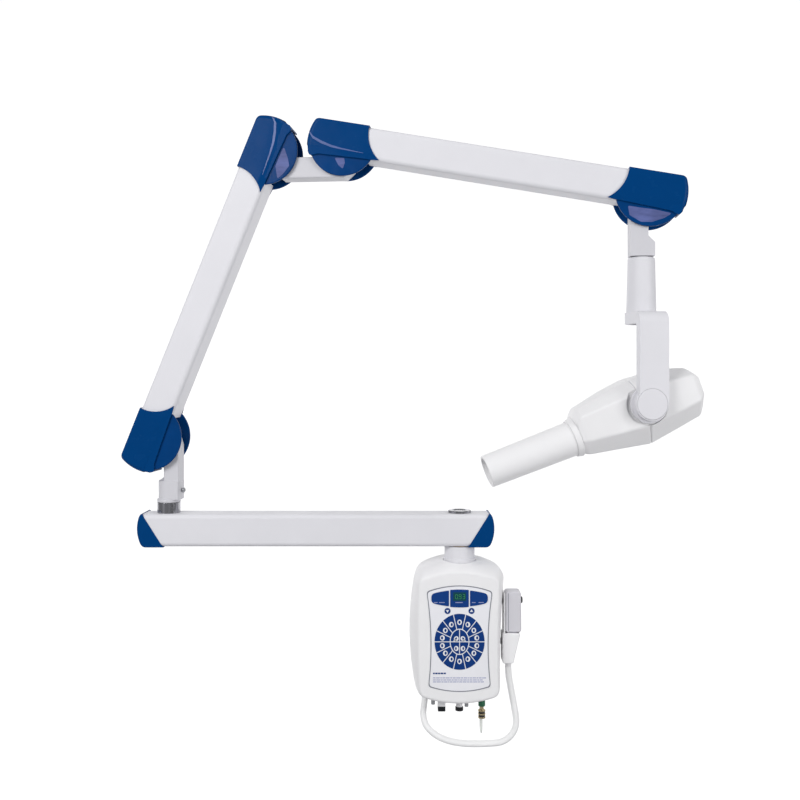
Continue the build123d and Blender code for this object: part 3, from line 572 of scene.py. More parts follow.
def hood():
    """A hollow hood, open below and at its mouth."""
    outline = corner((-52, HOOD_TOP), (-60.0, HOOD_TOP), (-62.4, 31), 8)
    outline += arc((-62.4, 31), (-69.0, 5), (-66.0, HOOD_LOW), 14)[1:]
    outline += [(62, HOOD_LOW), *arc((77.5, -25), (54.5, 1), (47.5, HOOD_TOP), 14)]
    shell = slab(outline, -HOOD_HALF, HOOD_HALF, hood_rim, steps=7)
    room = [(-55, 27), *arc((-59.5, 22), (-66, 2), (-60, -60), 12),
            (110, -60), (110, HOOD_ROOM_TOP), (-50, HOOD_ROOM_TOP)]
    shell = boolean(shell, [flat(room, -HOOD_ROOM_HALF, HOOD_ROOM_HALF)])
    # the side faces fall back below a crease along the arm, which turns up at the hood's end
    for x, normal in ((0, (0, 0, 1)), (CREASE_X, (TURN_UP[0], 0, TURN_UP[1]))):
        geometry = [*shell.verts, *shell.edges, *shell.faces]
        bmesh.ops.bisect_plane(shell, geom=geometry, plane_co=(x, 0, CREASE_Z), plane_no=normal)
    for vert in shell.verts:
        x, y, z = vert.co
        below = max(0.0, CREASE_Z - z, -(TURN_UP[0] * (x - CREASE_X) + TURN_UP[1] * (z - CREASE_Z)))
        if abs(y) > HOOD_ROOM_HALF + 0.8:
            vert.co.y -= copysign(min(FALL_BACK * below, MOST_FALL), y)
    return shell


def lobes():
    """The lower edges of a hood's sides, of which the front one drops at the hood's end."""
    solids = []
    for side, drop in ((-1, 1.0), (1, 0.1)):
        low = [(-63.2, -26), (-62.2, -31.5), (-60, -35), (-56.5, -36), (-51, -34.8), (-44, -31.5),
               (-3, -29.4), (50, -27.2)]
        edge = [(-62.6, -16), *[(x, -26 + (z + 26) * drop) for x, z in low], (50, -20)]
        solids.append(slab(rounded(edge, 2), *sorted((side * 30.3, side * 34.3)), 1.0, steps=3))
    sill = [(-64.6, -22), (-63.6, -30), (-61.8, -31.5), (-60, -31.5), (-59.5, -22)]
    return solids + [slab(sill, -33, 33, 0.8, steps=2)]


def creases():
    """A narrow bead along the crease on each side of a hood, in a lighter blue: a painted highlight."""
    upper = [(-65.5, 8.5), (-58, 0.8), (-40, -5.8), (-20, -10.8), (0, -13.4), (45, -16.4)]
    lower = [(45, -17.2), (0, -16.4), (-20, -15.2), (-40, -10.8), (-58, -3.8), (-65.5, 4.5)]
    return [slab(upper + lower, *sorted((side * 34.4, side * (HOOD_HALF + 0.12))), 0.1, steps=2)
            for side in (-1, 1)]


def cheeks():
    """The discs that stand below a hood on each side of its pivot, and the braces that hold them."""
    brace = [(-60, -26.6), (-28, -26.6), (-28, 32), (-52, 32),
             *arc((-58, 22), (-64, 0), (-60, -26.6), 6)[:-1]]
    solids = []
    for side in (-1, 1):
        y0, y1 = sorted((side * 24.5, side * 29.9))
        plate = disc(CHEEK_R, y0, y1, "Y", soft=2.0, steps=96)
        solids.append(boolean(plate, [block((-80, 80), (-40, 40), (32.3, 90))]))
        solids.append(slab(brace, *sorted((side * 28.6, side * 33.4)), 0.2, steps=1))
    return solids


def mirrored(bm, length):
    """A solid of an arm's near end, turned into one for its far end."""
    for vert in bm.verts:
        vert.co.x = length - vert.co.x
    bmesh.ops.reverse_faces(bm, faces=bm.faces)
    return bm


def helix(x0, x1, radius, wire, turns, y, z):
    """A coil of round wire along X."""
    rings = []
    steps = turns * 20
    for i in range(steps + 1):
        a = tau * turns * i / steps
        x = x0 + wire + (x1 - x0 - 2 * wire) * i / steps
        out = Vector((0, cos(a), sin(a)))
        centre = Vector((x, y, z)) + out * radius
        around = [tau * k / 6 for k in range(6)]
        rings.append([tuple(centre + (out * cos(b) + Vector((1, 0, 0)) * sin(b)) * wire)
                      for b in around])
    return skin(rings)


# the hoods whose creases get a painted highlight, and the painted reflections on the front discs, in X and Z
# as a hood
HIGHLIGHTED_HOODS = (("lower_arm", "far"), ("upper_arm", "near"))
PAINTED_GLINTS = {
    ("lower_arm", "far"): [(-22, -34), (-2, -33), (20, -33), (41, -46), (27, -53), (9, -58), (-2, -51)],
    ("upper_arm", "near"): [(-10, -33), (9, -31), (12, -40), (10, -52), (0, -46)],
    ("upper_arm", "far"): [(37, -34), (15, -34), (-13, -33), (-46, -35), (-33, -46), (-12, -57), (8, -60),
                           (31, -51)],
}


def make_arm(arm, place, length):
    """A scissor arm's tube with its pivot bosses, its two hoods and its spring."""
    name = arm + "_arm"
    tube = [square_tube(PIVOT_TO_TUBE, length - PIVOT_TO_TUBE, rake=ARM_RAKE)]
    for x, sign in ((0, 1), (length, -1)):
        for side in (-1, 1):
            y0, y1 = sorted((side * 30.1, side * 32.4))
            tube.append(disc(26.2, y0, y1, "Y", (x, 0), 0.4))
            low, high = sorted((x, x + sign * 44))
            tube.append(slab(rectangle(low, high, -14, 23.5), y0, y1, 0.3, steps=2))
    piece(name + "_tube_shell", name, "white_paint", place, tube, name + "_tube")
    for end in ("near", "far"):
        def at_end(solids):
            return solids if end == "near" else [mirrored(bm, length) for bm in solids]

        # the discs' blotchy colour is a painted sheen
        extra = [("blue_painted_sheen", at_end(cheeks()))]
        # a lighter bead on the crease: a painted highlight
        if (name, end) in HIGHLIGHTED_HOODS:
            extra.append(("blue_crease_highlight", at_end(creases())))
        # lavender patches on the front disc: painted reflections
        if (name, end) in PAINTED_GLINTS:
            outline = rounded(PAINTED_GLINTS[name, end], 2.5)
            extra.append(("blue_painted_glint", at_end([slab(outline, -30.1, -29.6, 0.05, steps=1)])))
        piece(name + "_hood_" + end, name, "blue_plastic", place, at_end([hood()] + lobes()),
              name + "_" + end + "_hood", extra)
    piece(arm + "_spring_coil", name, "steel", place, [helix(105.1, 404, 12.7, 2.2, 62, -12, 3)],
          arm + "_balance_spring")


make_arm("lower", LOWER, LOWER_ARM)
make_arm("upper", UPPER, UPPER_ARM)


# ---------------- castings of the arms' ends
TONGUE_R, TONGUE_HALF = 34.5, 12.0


def tongue(x, z):
    """The round plate of a casting, between the discs of a hood."""
    return disc(TONGUE_R, -TONGUE_HALF, TONGUE_HALF, "Y", (x, z), 1.0, 96)


def crank_pin(x, z, angle):
    """The pin that a tie rod turns on, about a pivot at x, z."""
    a = radians(angle)
    return disc(4.0, 8.0, 20.0, "Y", (x + CRANK * cos(a), z + CRANK * sin(a)), 0.5, 32)


def web(x0, x1, z0, z1):
    """A plate as thick as the tongues, between them and a casting."""
    return slab(rectangle(x0, x1, z0, z1), -TONGUE_HALF, TONGUE_HALF, 0.5, steps=2)


def casting(name, body, place, node, solids):
    """A piece drawn in a darker copy of the arms' paint, which is its slot."""
    piece(name, body, "white_paint", place, [], node, [("casting_darker", solids)])


# the casting between the chrome post and the lower arm
neck = rounded([(-5, 294), (-5, 380), (1, 396), (18, 396), (25.5, 371), (25.5, 294)], 5)
flare = [(-18.5, 290), (-18.5, 299), *corner((-18, 301), (-9, 304), (-4, 313)), (2, 313), (2, 290)]
foot = rounded([*arc((0, 20), (-20, 0), (0, -20), 24), (26, -20), (26, 20)], 6)
px, pz = LOWER_PIVOT
casting("post_casting", "post", POST, "post_knuckle", [
    tongue(px, pz),
    web(px + 5, 12, pz - 16, pz + 14),
    slab(neck, -18, 18, 2.5),
    slab(flare, -9, 9, 1.5),
    slab(foot, 262, 300.5, 2.5, axis="Z"),
    disc(23.0, 257.4, 264, soft=1.2),
    crank_pin(px, pz, LOWER_CRANK_ANGLE),
])
knob = [(0.1, 26.1), (3.4, 26.1), (3.6, 27.6), (4.8, 28.4), (5.2, 29.6), (5.2, 31.4), (4.4, 32.8),
        (2.6, 33.0), (2.4, 30.4), (0.1, 30.4)]
piece("lock_knob", "post", "steel", POST, [lathe(knob, "X", (0, 281), 40)], "lock_screw")

# the casting between the two scissor arms
lx, lz = LINK_STEP
bar = rounded([(26, -12), (lx - 22, -12), (lx - 12, -22), (lx + 14, -26), (lx + 21, -37), (lx + 3, -53.5),
               (30, -53.5)], 6)
casting("elbow_casting", "elbow", LINK, "elbow_link", [
    tongue(0, 0), tongue(lx, lz),
    web(lx - 22, lx + 14, -30, 8),
    slab(bar, -22, 22, 3.6),
    crank_pin(0, 0, LOWER_CRANK_ANGLE), crank_pin(lx, lz, UPPER_CRANK_ANGLE),
])

# the casting between the upper arm and the head's stem
head_pivot = (HEAD_AXIS_BACK, HEAD_PIVOT[1])
knuckle = boolean(flat(rectangle(-23, 23, 735.3, 834), -22, 22),
                  [flat([(10.5, 773), (40, 743.5), (40, 850), (10.5, 850)], -40, 40)])
casting("head_casting", "head_post", HEAD, "head_knuckle", [
    tongue(*head_pivot), bevelled(knuckle, 2.0, 3, 40), crank_pin(*head_pivot, UPPER_CRANK_ANGLE),
])
piece("stem_shell", "head_post", "steel", HEAD, [disc(16.0, 640.2, 758, soft=0.8, steps=64)],
      "swivel_stem")


# ---------------- swing arm
SWING_LOW, SWING_HIGH = 172.0, 236.0
CAP_SKIN = 1.2  # how far an end cap stands out from the tube above and below
CAP_GAP = 0.2  # between the tube and the inside of a cap
MOUTH_TOP, MOUTH_RUN = 5, 42  # the mouth's place at the cap's top, and how far it leans back below


def end_cap(near, sign):
    """A hollow cap with a bulging end and a slanted mouth, at the arm's end where X is near."""
    z0, z1 = SWING_LOW - CAP_SKIN, SWING_HIGH + CAP_SKIN
    bulge = arc((9, z1), (15, 206), (5, z0), 16)
    outline = [(MOUTH_TOP, z1), *corner((5.3, z1), (9, z1), bulge[2]), *bulge[3:-3],
               *corner(bulge[-3], (5, z0), (-2, z0)), (MOUTH_TOP - MOUTH_RUN, z0)]
    outline = [(near + sign * x, z) for x, z in outline]

    def rim(x, z):
        """How far each edge of the cap is rounded: hardly at its mouth."""
        mouth = near + sign * (MOUTH_TOP - MOUTH_RUN * (z1 - z) / (z1 - z0))
        at_mouth = abs(x - mouth) < 0.6 and z0 + 1 < z < z1 - 1
        return 0.3 if at_mouth else 3.0

    cap = slab(outline, -ARM_HALF - CAP_SKIN, ARM_HALF + CAP_SKIN, rim)
    section = round_rect(ARM_HALF + CAP_GAP, SWING_LOW - CAP_GAP, SWING_HIGH + CAP_GAP, ARM_CORNER)
    ends = sorted((near + sign * 5.4, near - sign * 90))
    return boolean(cap, [skin([[(x, y, z) for y, z in section] for x in ends])])


piece("swing_tube_shell", "swing_arm", "white_paint", COLUMN,
      [square_tube(-627, 57, SWING_LOW, SWING_HIGH)], "swing_arm_tube")
piece("swing_end_outer", "swing_arm", "blue_plastic", COLUMN, [end_cap(-622.0, -1)], "swing_cap_outer")
piece("swing_end_inner", "swing_arm", "blue_plastic", COLUMN, [end_cap(52.0, 1)], "swing_cap_inner")
cap_disc = [(0.1, 236.3), (22.2, 236.3), (22.8, 236.9), (22.8, 240.2), (22.0, 241.0), (15.0, 241.0),
            (14.2, 239.6), (0.1, 239.6)]
piece("column_cap_disc", "swing_arm", "chrome", COLUMN, [lathe(cap_disc)], "column_cap")
post_tube = disc_profile(23.0, 174.6, 257.0, 0.3) + [(18.2, 257.0), (18.2, 174.6)]
piece("post_tube_shell", "swing_arm", "chrome", COLUMN, [lathe(post_tube, at=(POST_X, 0), closed=True)],
      "post_tube")

# ---------------- yoke
sleeve = [(16.2, 628.2), (27.2, 628.2), (28.0, 629.2), (27.6, 650), (26.3, 700), (25.6, 729.0),
          (25.0, 731.0), (23.4, 732.8), (22.4, 733.5), (16.2, 733.5)]
piece("sleeve_shell", "yoke", "white_paint", YOKE, [lathe(sleeve, closed=True)], "swivel_sleeve")

# the yoke arm's side view, a bent plate, kept where it meets its front view
YOKE_FRONT, YOKE_BACK = -84, -64
YOKE_TOP, YOKE_BEND = 628, 22
TRUNNION_R = 11.1
bend = [pi / 2 * i / 10 for i in range(11)]
side = [(YOKE_FRONT, 380), *[(YOKE_FRONT + YOKE_BEND * (1 - cos(a)),
                              YOKE_TOP - YOKE_BEND * (1 - sin(a))) for a in bend]]
side += [(0, YOKE_TOP), (0, 606), (-60, 606), (YOKE_BACK, 602), (YOKE_BACK, 380)]
arm_body = boolean(slab(side, -34, 24, 0.0, axis="X", steps=1),
                   [flat(rectangle(-32.5, 22.5, TUBE_PIVOT[1], 700), -120, 20)], "INTERSECT")
arm_body = boolean(arm_body, [disc(30.5, YOKE_FRONT, YOKE_BACK, "Y", TUBE_PIVOT, 0.1, 96),
                              disc(35.5, -70, -63.9, "Y", TUBE_PIVOT, 0.1, 96)], "UNION")
arm_body = boolean(arm_body, [disc(28.9, -90, -80, "Y", TUBE_PIVOT, 0.1, 96),
                              disc(TRUNNION_R, -100, -40, "Y", TUBE_PIVOT, 0.1, 48)])
piece("yoke_casting", "yoke", "white_paint", YOKE,
      [bevelled(arm_body, 1.6, 3, 40), disc(29.0, 606, YOKE_TOP, soft=2.0)], "yoke_arm")
piece("yoke_cap", "yoke", "white_paint", YOKE, [disc(28.5, -85.2, -80.4, "Y", TUBE_PIVOT, 1.4, 96)],
      "yoke_pivot_cap")

# ---------------- tubehead
# (X, half width, top, base) of the housing's sections; the shells meet at the fourth
STATIONS = [(-133.0, 34.0, 20.5, -51.5), (-122.0, 40.0, 33.5, -56.5), (-60.0, 56.0, 44.5, -67.5),
            (-8.0, 60.0, 50.5, -77.5), (64.0, 60.0, 44.5, -67.5), (102.0, 54.0, 33.5, -62.5),
            (114.0, 48.0, 20.5, -45.5)]


def housing_ring(station, dx):
    """A station's eight-sided section, moved along X by dx."""
    x, half, top, base = station
    edge = half * 0.45
    section = [(-half, base * 0.5), (-half, top * 0.55), (-edge, top), (edge, top),
               (half, top * 0.55), (half, base * 0.5), (edge, base), (-edge, base)]
    return [(x + dx, y, z) for y, z in section]


def housing(stations, dxs):
    """One shell of the tubehead, with its part of the recess that the yoke's boss stands in."""
    shell = bevelled(skin([housing_ring(s, dx) for s, dx in zip(stations, dxs)]), 3.6, 5, 7)
    recess = disc(40, -75, -52, "Y", soft=0.1, steps=96)
    hole = disc(TRUNNION_R, -70, -40, "Y", soft=0.1, steps=48)
    return boolean(shell, [recess, hole])


SEAM = 0.2  # each shell stops this far from their joint
piece("housing_front_shell", "tubehead", "white_plastic", TUBE,
      [housing(STATIONS[:4], (0, 0, 0, -SEAM))], "housing_front")
piece("housing_rear_shell", "tubehead", "white_plastic", TUBE,
      [housing(STATIONS[3:], (SEAM, 0, 0, 0))], "housing_rear")
cone = [(27.0, -315.6), (29.6, -316.0), (30.7, -315.4), (31.0, -314.4), (33.4, -135), (33.5, -126),
        (33.5, -110.0), (27.0, -110.0)]
piece("cone_shell", "tubehead", "white_plastic", CONE, [lathe(cone, "X", steps=96, closed=True)],
      "beam_cone")
ring = [(33.7, -144.0), (35.2, -144.0), (36.1, -143.2), (36.6, -140.5), (38.3, -134.6), (38.0, -133.4),
        (33.7, -133.4)]
piece("cone_ring", "tubehead", "white_plastic", CONE, [lathe(ring, "X", steps=96, closed=True)],
      "cone_collar")

# ---------------- control box
# sections at the wall, where the shells meet, and at the front: heights of the top's ends, its middle, the
# base's ends and its middle; then X of each side's top, waist and foot
BACK = dict(heights=(122, 146, -112, -128), left=(-84, -96, -80), right=(81, 76, 77))
JOINT = dict(heights=(122, 144, -118, -134.5), left=(-88, -100, -86), right=(88, 79.6, 80))
FRONT = dict(heights=(112, 129, -116, -131), left=(-84, -86, -83), right=(78, 74, 76))


def box_outline(heights, left, right):
    """Anticlockwise points of the box's section seen from the front."""
    top, crown, foot, base = heights
    lt, lw, lf = left
    rt, rw, rf = right
    ways = [((lf, foot), ((lf + rf) / 2, base), (rf, foot)), ((rf, foot), (rw, -20), (rt, top)),
            ((rt, top), ((lt + rt) / 2, crown), (lt, top)), ((lt, top), (lw, 0), (lf, foot))]
    return from_arcs(ways, 40, 3, 8)


def mixed(a, b, share):
    """The outline that lies between a and b."""
    return [(p[0] + (q[0] - p[0]) * share, p[1] + (q[1] - p[1]) * share) for p, q in zip(a, b)]


def box_rings(levels):
    """Rings from (y, outline, amount drawn in)."""
    rings = []
    for y, outline, amount in levels:
        edge = drawn_in(outline, [amount] * len(outline)) if amount else outline
        rings.append([(x, y, z) for x, z in edge])
    return rings


back, joint, face = box_outline(**BACK), box_outline(**JOINT), box_outline(**FRONT)
front_levels = [(-76.1, joint, 1.2), (-76.8, joint, 0.3), (-77.6, joint, 0.0)]
front_levels += [(y, mixed(joint, face, share), amount) for y, share, amount in (
    (-84, 0.10, 0), (-91, 0.26, 0), (-98, 0.50, 0), (-103, 0.72, 0), (-106.5, 0.88, 0.2), (-109, 0.97, 1.0))]
front_levels += [(-110.6, face, 2.2), (-111.6, face, 4.2), (-112.0, face, 6.8)]
rear_levels = [(-75.9, joint, 1.2), (-75.2, joint, 0.3), (-74.4, joint, 0.0)]
rear_levels += [(-75 * (1 - share), mixed(joint, back, share), -1.5 * sin(pi * share))
                for share in (0.15, 0.35, 0.55, 0.75)]
rear_levels += [(-8.0, mixed(joint, back, 0.93), 0), (-3.0, back, 0.8), (-1.0, back, 3.0)]
SWITCH, FUSE, TERMINAL = (-36.0, COLUMN_Y), (-0.5, COLUMN_Y), (44, -66)
collar_hole = disc(33.4, 100, 200, at=(0, COLUMN_Y), soft=0.1, steps=96)
holes = [block((SWITCH[0] - 7.7, SWITCH[0] + 7.7), (-71.2, -48.8), (-200, -100))]
for radius, at, steps in ((6.7, FUSE, 32), (7.2, TERMINAL, 32), (4.4, (-53, -60), 24), (4.4, (14, -60), 24)):
    holes.append(disc(radius, -200, -100, at=at, soft=0.1, steps=steps))
front_body = boolean(skin(box_rings(front_levels)), [collar_hole])
rear_body = boolean(skin(box_rings(rear_levels)), [collar_hole, *holes])
piece("box_front_shell", "wall_unit", "white_plastic", ROW, [front_body], "front_cover")
piece("box_rear_shell", "wall_unit", "white_plastic", ROW, [rear_body], "rear_shell")
flange = [(20.2, 126.0), (32.0, 126.0), (32.0, 145.4), (31.4, 146.6), (30.0, 147.4), (30.0, 169.4),
          (29.0, 170.4), (20.2, 170.4)]
piece("collar_shell", "wall_unit", "white_paint", COLUMN, [lathe(flange, closed=True)], "column_collar")

# the keypad film's flat printed layers; X is from the middle of the front
FACE = shift(-3.0, 0, 0)
FILM_Y, WHITE_Y, INK_Y, MARK_Y = -112.5, -112.75, -112.95, -113.15
SUNK = 0.05  # how far a layer's back stands in the layer below it


def film_outline(grow):
    """The film's edge, moved outward by grow: X and Z of its top and foot, and X of its waist."""
    tx, tz, wx, fx, fz = 64 + grow, 88 + grow, 56 + grow, 60.5 + grow, -96 - grow
    ways = [((-fx, fz), (0, -106 - grow), (fx, fz)), ((fx, fz), (wx, 0), (tx, tz)),
            ((tx, tz), (0, 100 + grow), (-tx, tz)), ((-tx, tz), (-wx, 0), (-fx, fz))]
    return from_arcs(ways, 24, 1, 6)


def ellipse(cx, cz, rx, rz, n=36, tilt=0.0):
    out = []
    along, across = cos(tilt), sin(tilt)
    for k in range(n):
        a = tau * k / n
        u, v = rx * cos(a), rz * sin(a)
        out.append((cx + u * along - v * across, cz + u * across + v * along))
    return out


PAD_Z = -9.0
PAD_OUT, PAD_MID, PAD_IN = (48.7, 54.5), (19.2, 25.6), (17.4, 23.8)  # half sizes of the ellipses
RIM_KEYS, KEY_GAP = 14, 1.7
SMALL_KEY_Z = 51


def pad_radius(size, angle):
    """From the middle of an ellipse to its edge, at an angle."""
    return size[0] * size[1] / hypot(size[1] * cos(angle), size[0] * sin(angle))


def sector(outer, inner, start, end):
    """One key between two ellipses and two rays, with half a gap left at each ray."""
    def side(size, angles):
        edge = []
        for share in angles:
            r = pad_radius(size, start + (end - start) * share)
            away = asin(KEY_GAP / 2 / r)
            angle = start + away + (end - start - 2 * away) * share
            r = pad_radius(size, angle)
            edge.append((r * cos(angle), PAD_Z + r * sin(angle)))
        return edge

    shares = [i / 8 for i in range(9)]
    if inner is None:
        middle, off = (start + end) / 2, KEY_GAP / 2
        tip = (copysign(off, cos(middle)), PAD_Z + copysign(off, sin(middle)))
        return side(outer, shares) + [tip]
    return side(outer, shares) + side(inner, reversed(shares))


def keys(count, outer, inner):
    step = tau / count
    return [flat(sector(outer, inner, step * k, step * (k + 1)), INK_Y, FILM_Y) for k in range(count)]


def mark_ring(outer, inner):
    return band(outer, inner, MARK_Y, INK_Y + SUNK)


def mark(outline):
    return flat(outline, MARK_Y, INK_Y + SUNK)


def bar_mark(x0, x1, z0, z1):
    return flat(rectangle(x0, x1, z0, z1), WHITE_Y, FILM_Y + SUNK)


blue_ink = keys(RIM_KEYS, PAD_OUT, PAD_MID) + keys(4, PAD_IN, None)
white_ink = [flat(ellipse(0, PAD_Z, 49.8, 55.6, 96), WHITE_Y, FILM_Y + 0.1)]
# a ring on each key of the rim, its hole off to one side
for k in range(RIM_KEYS):
    a = tau * (k + 0.5) / RIM_KEYS
    r = 0.70 * pad_radius(PAD_OUT, a)
    x, z = r * cos(a), PAD_Z + r * sin(a)
    white_ink.append(mark_ring(ellipse(x, z, 4.6, 5.2), ellipse(x + 0.9 * cos(a + k), z, 2.1, 3.1)))
# the four keys in the middle: leaning rings with a bar above, upright rings below
for sx, upper in ((-1, True), (1, True), (-1, False), (1, False)):
    x, z = 6.4 * sx, PAD_Z + (6.2 if upper else -13.0)
    lean = 0.6 * sx if upper else 0.0
    white_ink.append(mark_ring(ellipse(x, z, 4.4, 4.9, tilt=lean),
                               ellipse(x + 0.8 * sx, z, 1.7, 2.9, tilt=lean)))
    if upper:
        white_ink.append(mark(ellipse(x + 2.6 * sx, z - 3.4, 3.4, 1.5, 20, -0.5 * sx)))
# the two small keys, with a triangle that points down or up
for x, way in ((-23.5, -1), (23.3, 1)):
    button = ellipse(x, SMALL_KEY_Z, 5.9, 5.9)
    white_ink.append(band(ellipse(x, SMALL_KEY_Z, 7.0, 7.0), button, WHITE_Y, FILM_Y + SUNK))
    blue_ink.append(flat(button, INK_Y, FILM_Y))
    foot_z = SMALL_KEY_Z - 1.8 * way
    white_ink.append(mark([(x - 3.2, foot_z), (x + 3.2, foot_z), (x, SMALL_KEY_Z + 3.4 * way)]))
# plain bars in place of text
TEXT_LEFT, TEXT_RIGHT = -51.6, 46
x = TEXT_LEFT
for width in (3.4, 4.6, 3.8, 5.2, 4.4):
    blue_ink.append(bar_mark(x, x + width, -72.0, -69.2))
    x += width + 0.9
pale_ink = []
for z, k in ((-79.4, 1), (-83.4, 4), (-87.2, 7)):
    x = TEXT_LEFT
    while x < TEXT_RIGHT:
        width = 2.6 + (k * 37 % 11) * 0.55
        pale_ink.append(bar_mark(x, x + width, z - 0.7, z + 0.7))
        x += width + 1.1
        k += 1
piece("keypad_film", "wall_unit", "overlay_film", FACE,
      [slab(film_outline(0.0), FILM_Y, -111.0, 0.25, steps=2)], "keypad_overlay",
      [("print_grey", [band(film_outline(0.5), film_outline(-1.1), -112.72, -111.2)]),
       ("print_blue", blue_ink), ("print_white", white_ink), ("print_pale", pale_ink)])

# the display window, whose top and base are arcs
WINDOW_Z, WINDOW_HALF = 75.5, 16.5
ARC_SPAN, ARC_RISE = 55.5, 8
WINDOW_R = (ARC_SPAN ** 2 + ARC_RISE ** 2) / (2 * ARC_RISE)
PANEL_Y, LCD_Y, DIGIT_Y = -113.5, -113.7, -114.0


def window_half(x):
    """Half the height of the window at x."""
    return WINDOW_HALF - WINDOW_R + sqrt(WINDOW_R ** 2 - x ** 2)


def panel(x0, x1, grow=0.0, left=1.5, right=1.5):
    """The window's outline from x0 to x1, with corners rounded by left and right."""
    h0, h1 = window_half(x0) + grow, window_half(x1) + grow
    xs = [x0 + left + (x1 - right - x0 - left) * i / 14 for i in range(15)]
    rise = [(x, window_half(x) + grow) for x in xs]
    over = [*corner((x0, h0 - left), (x0, h0), rise[0]), *rise[1:-1],
            *corner(rise[-1], (x1, h1), (x1, h1 - right))]
    return [(x, WINDOW_Z - z) for x, z in over] + [(x, WINDOW_Z + z) for x, z in reversed(over)]


def digit(x, z, lit):
    """A seven-segment figure 5 mm wide and 9 mm tall with its lower left corner at x, z."""
    bars = {"a": (0.8, 4.2, 8.2, 9.0), "b": (4.2, 5.0, 4.9, 8.3), "c": (4.2, 5.0, 0.7, 4.1),
            "d": (0.8, 4.2, 0.0, 0.8), "e": (0.0, 0.8, 0.7, 4.1), "f": (0.0, 0.8, 4.9, 8.3),
            "g": (0.8, 4.2, 4.1, 4.9)}
    out = []
    for x0, x1, z0, z1 in [bars[letter] for letter in lit]:
        out.append(flat(rectangle(x + x0, x + x1, z + z0, z + z1), DIGIT_Y, LCD_Y))
    return out


panels = [panel(-55.0, -20.6, left=7.0), panel(-18.4, 18.0, 1.0), panel(20.2, 55.0, right=7.0)]
captions = [(-50, -43), (-40, -29), (-8, 6), (24, 31), (37, 47)]
digits = digit(-8.5, 74.5, "abcdef") + digit(-1.5, 74.5, "abcdfg") + digit(5.5, 74.5, "abgcd")
digits.append(flat(ellipse(-2.5, 74.9, 0.6, 0.6, 12), DIGIT_Y, LCD_Y))
piece("display_panels", "wall_unit", "display_lens", FACE, [flat(p, PANEL_Y, -112.6) for p in panels],
      "display_window",
      [("print_white", [flat(panel(-56.6, 56.6, 1.4, 8.0, 8.0), -113.2, -112.4)]),
       ("lcd_back", [flat(rounded(rectangle(-12.5, 12.5, 70.5, 87.5), 1.5), LCD_Y, -113.4)]),
       ("digit_green", digits),
       ("print_pale", [flat(rectangle(a, b, 66.8, 68.4), -113.62, -113.4) for a, b in captions])])

# ---------------- handset and cradle
head = slab(rounded([(88.8, 2.6), (120.6, 2.6), (119.9, 83.5), (89.2, 83.5)], 6), -88.8, -55.2, 3.2)
grip = slab([(88.8, 1), (88.8, -50), (103, -50), (114, 1)], -88.6, -55.4, 1.5)
step = cuboid((92.8, 112), (-85, -59), (-2, 6), 0.5)
groove = cuboid((94.2, 95.2), (-88.95, -88.0), (6, 80), 0.05)
piece("handset_shell", "handset", "grey_plastic", ROW, [head, grip, step], "handset_body",
      [("print_grey", [groove])])
piece("button_cap", "handset_button", "black_plastic", ROW,
      [disc(6.5, 116, 124.2, "X", (-72, 64), 1.2, 48)], "handset_button")
holster = slab(rounded([(83, 1.8), (83, -58), (104.6, -58), (118.6, 1.8)], 4), -91.6, -52.4, 2.2)
room = flat([(88.4, 40), (88.4, -70), (100.0, -70), (125.5, 40)], -89.3, -54.7)
piece("cradle_shell", "wall_unit", "white_plastic", ROW,
      [boolean(holster, [room]), cuboid((85.6, 88.4), (-90.5, -53.5), (-57, 80), 1.0),
       disc(6.0, 76, 87.4, "X", (-62, 60), 0.5, 40), disc(6.0, 76, 87.4, "X", (-62, -20), 0.5, 40)],
      "handset_cradle")

# ---------------- sockets under the box
IN_BOX = -112  # all of them reach this far up into the box
rim = rounded(rectangle(SWITCH[0] - 7.5, SWITCH[0] + 7.5, -71, -49), 1.5)
well = block((SWITCH[0] - 5.4, SWITCH[0] + 5.4), (-69, -51), (-164, -150))
bore = disc(1.6, SWITCH[0] - 7, SWITCH[0] + 7, "X", (COLUMN_Y, -155), 0.1, 24)
piece("switch_shell", "wall_unit", "black_plastic", ROW,
      [boolean(slab(rim, -159, -149.2, 0.6, axis="Z"), [well, bore])], "switch_housing",
      [("white_plastic", [slab(rim, -149.2, IN_BOX, 0.4, axis="Z")])])
slot_cut = block((-5, 4), (COLUMN_Y - 0.8, COLUMN_Y + 0.8), (-162, -158.5))
piece("fuse_shell", "wall_unit", "black_plastic", ROW,
      [boolean(disc(8.0, -160, -152, at=FUSE, soft=0.8, steps=48), [slot_cut])], "fuse_holder",
      [("white_plastic", [disc(6.5, -152.5, IN_BOX, at=FUSE, soft=0.5, steps=48)])])


def terminal_ring(k, radius, height):
    """The k-th of the rings below the earth terminal, from the lowest up."""
    low = -173 + 3.4 * k
    return disc(radius, low, low + height, at=TERMINAL, soft=0.7, steps=40)


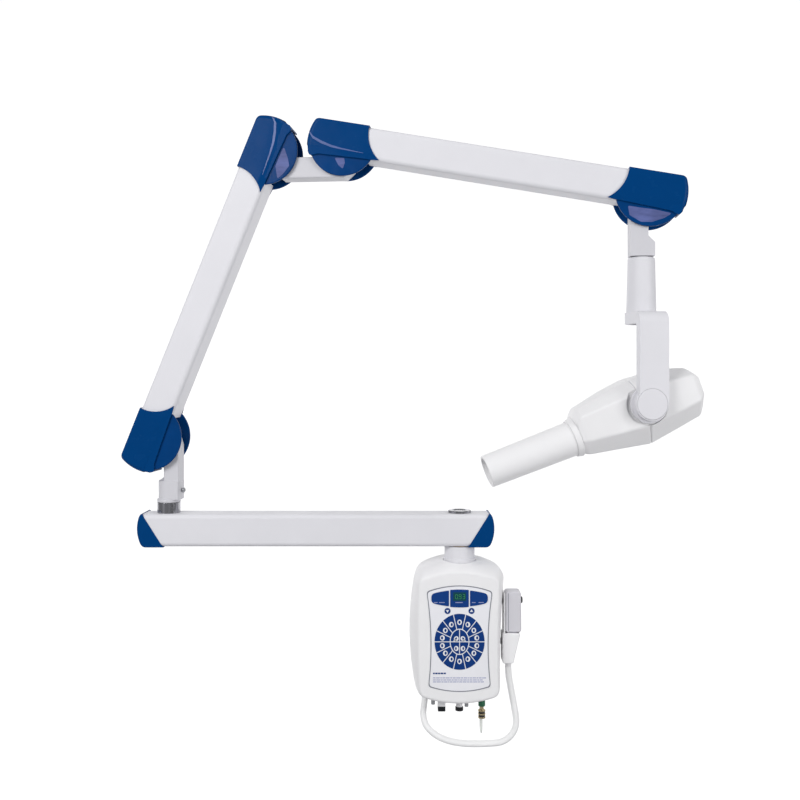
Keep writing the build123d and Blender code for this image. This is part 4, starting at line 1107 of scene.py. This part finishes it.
stud = disc(4.0, -157, -148, at=TERMINAL, soft=0.2, steps=32)
piece("terminal_body", "wall_unit", "brass", ROW,
      [stud, *[terminal_ring(k, 7.4, 3.2) for k in (0, 2, 4)]], "ground_terminal",
      [("rubber", [terminal_ring(k, 6.6, 3.4) for k in (1, 3)]),
       ("terminal_green", [disc(7.0, -149, IN_BOX, at=TERMINAL, soft=0.8, steps=40)])])

# ---------------- floor, backdrop, light (metres)
STUDIO_HALF, FLOOR_Z = 7.0, -0.62
WALL_FOOT, SWEEP_R, WALL_TOP = 3.2, 1.0, 7.0  # the backdrop's sweep starts at Y WALL_FOOT


def sheet(name, outline, slot):
    """A surface as wide as the studio, along an outline of (y, z) points in metres."""
    mesh = bpy.data.meshes.new(name)
    bm = bmesh.new()
    rows = [[bm.verts.new((x, y, z)) for y, z in outline] for x in (-STUDIO_HALF, STUDIO_HALF)]
    for i in range(len(outline) - 1):
        bm.faces.new((rows[0][i], rows[1][i], rows[1][i + 1], rows[0][i + 1])).smooth = True
    bm.to_mesh(mesh)
    bm.free()
    mesh.materials.append(MATERIALS[slot])
    in_scene(name, mesh)


sheet("floor", [(-3.0, FLOOR_Z), (0.5, FLOOR_Z)], "floor")
quarter = [pi / 2 * i / 16 for i in range(17)]
sweep = [(WALL_FOOT + SWEEP_R * sin(a), FLOOR_Z + SWEEP_R * (1 - cos(a))) for a in quarter]
sheet("backdrop", [(0.5, FLOOR_Z), *sweep, (WALL_FOOT + SWEEP_R, WALL_TOP)], "backdrop")

world = bpy.data.worlds.new("studio")
scene.world = world
world.use_nodes = True
sky = world.node_tree.nodes["Background"]
sky.inputs["Color"].default_value = (0.97, 0.98, 1.0, 1)
sky.inputs["Strength"].default_value = 0.30


def soft_light(name, at, aim, size, power):
    """A rectangular light; its size is in metres, its power in watts."""
    data = bpy.data.lights.new(name, "AREA")
    data.shape = "RECTANGLE"
    data.size, data.size_y = size
    data.energy = power
    light = in_scene(name, data)
    light.location = at
    light.rotation_euler = (Vector(aim) - Vector(at)).to_track_quat("-Z", "Y").to_euler()


soft_light("key", (-1.9, -2.4, 1.8), (0, 0, 0.4), (1.6, 1.6), 58)
soft_light("fill", (2.3, -2.3, 0.9), (0, 0, 0.4), (1.4, 1.8), 38)
soft_light("top", (0.2, -0.3, 3.2), (0, 0, 0.3), (2.4, 1.2), 5)
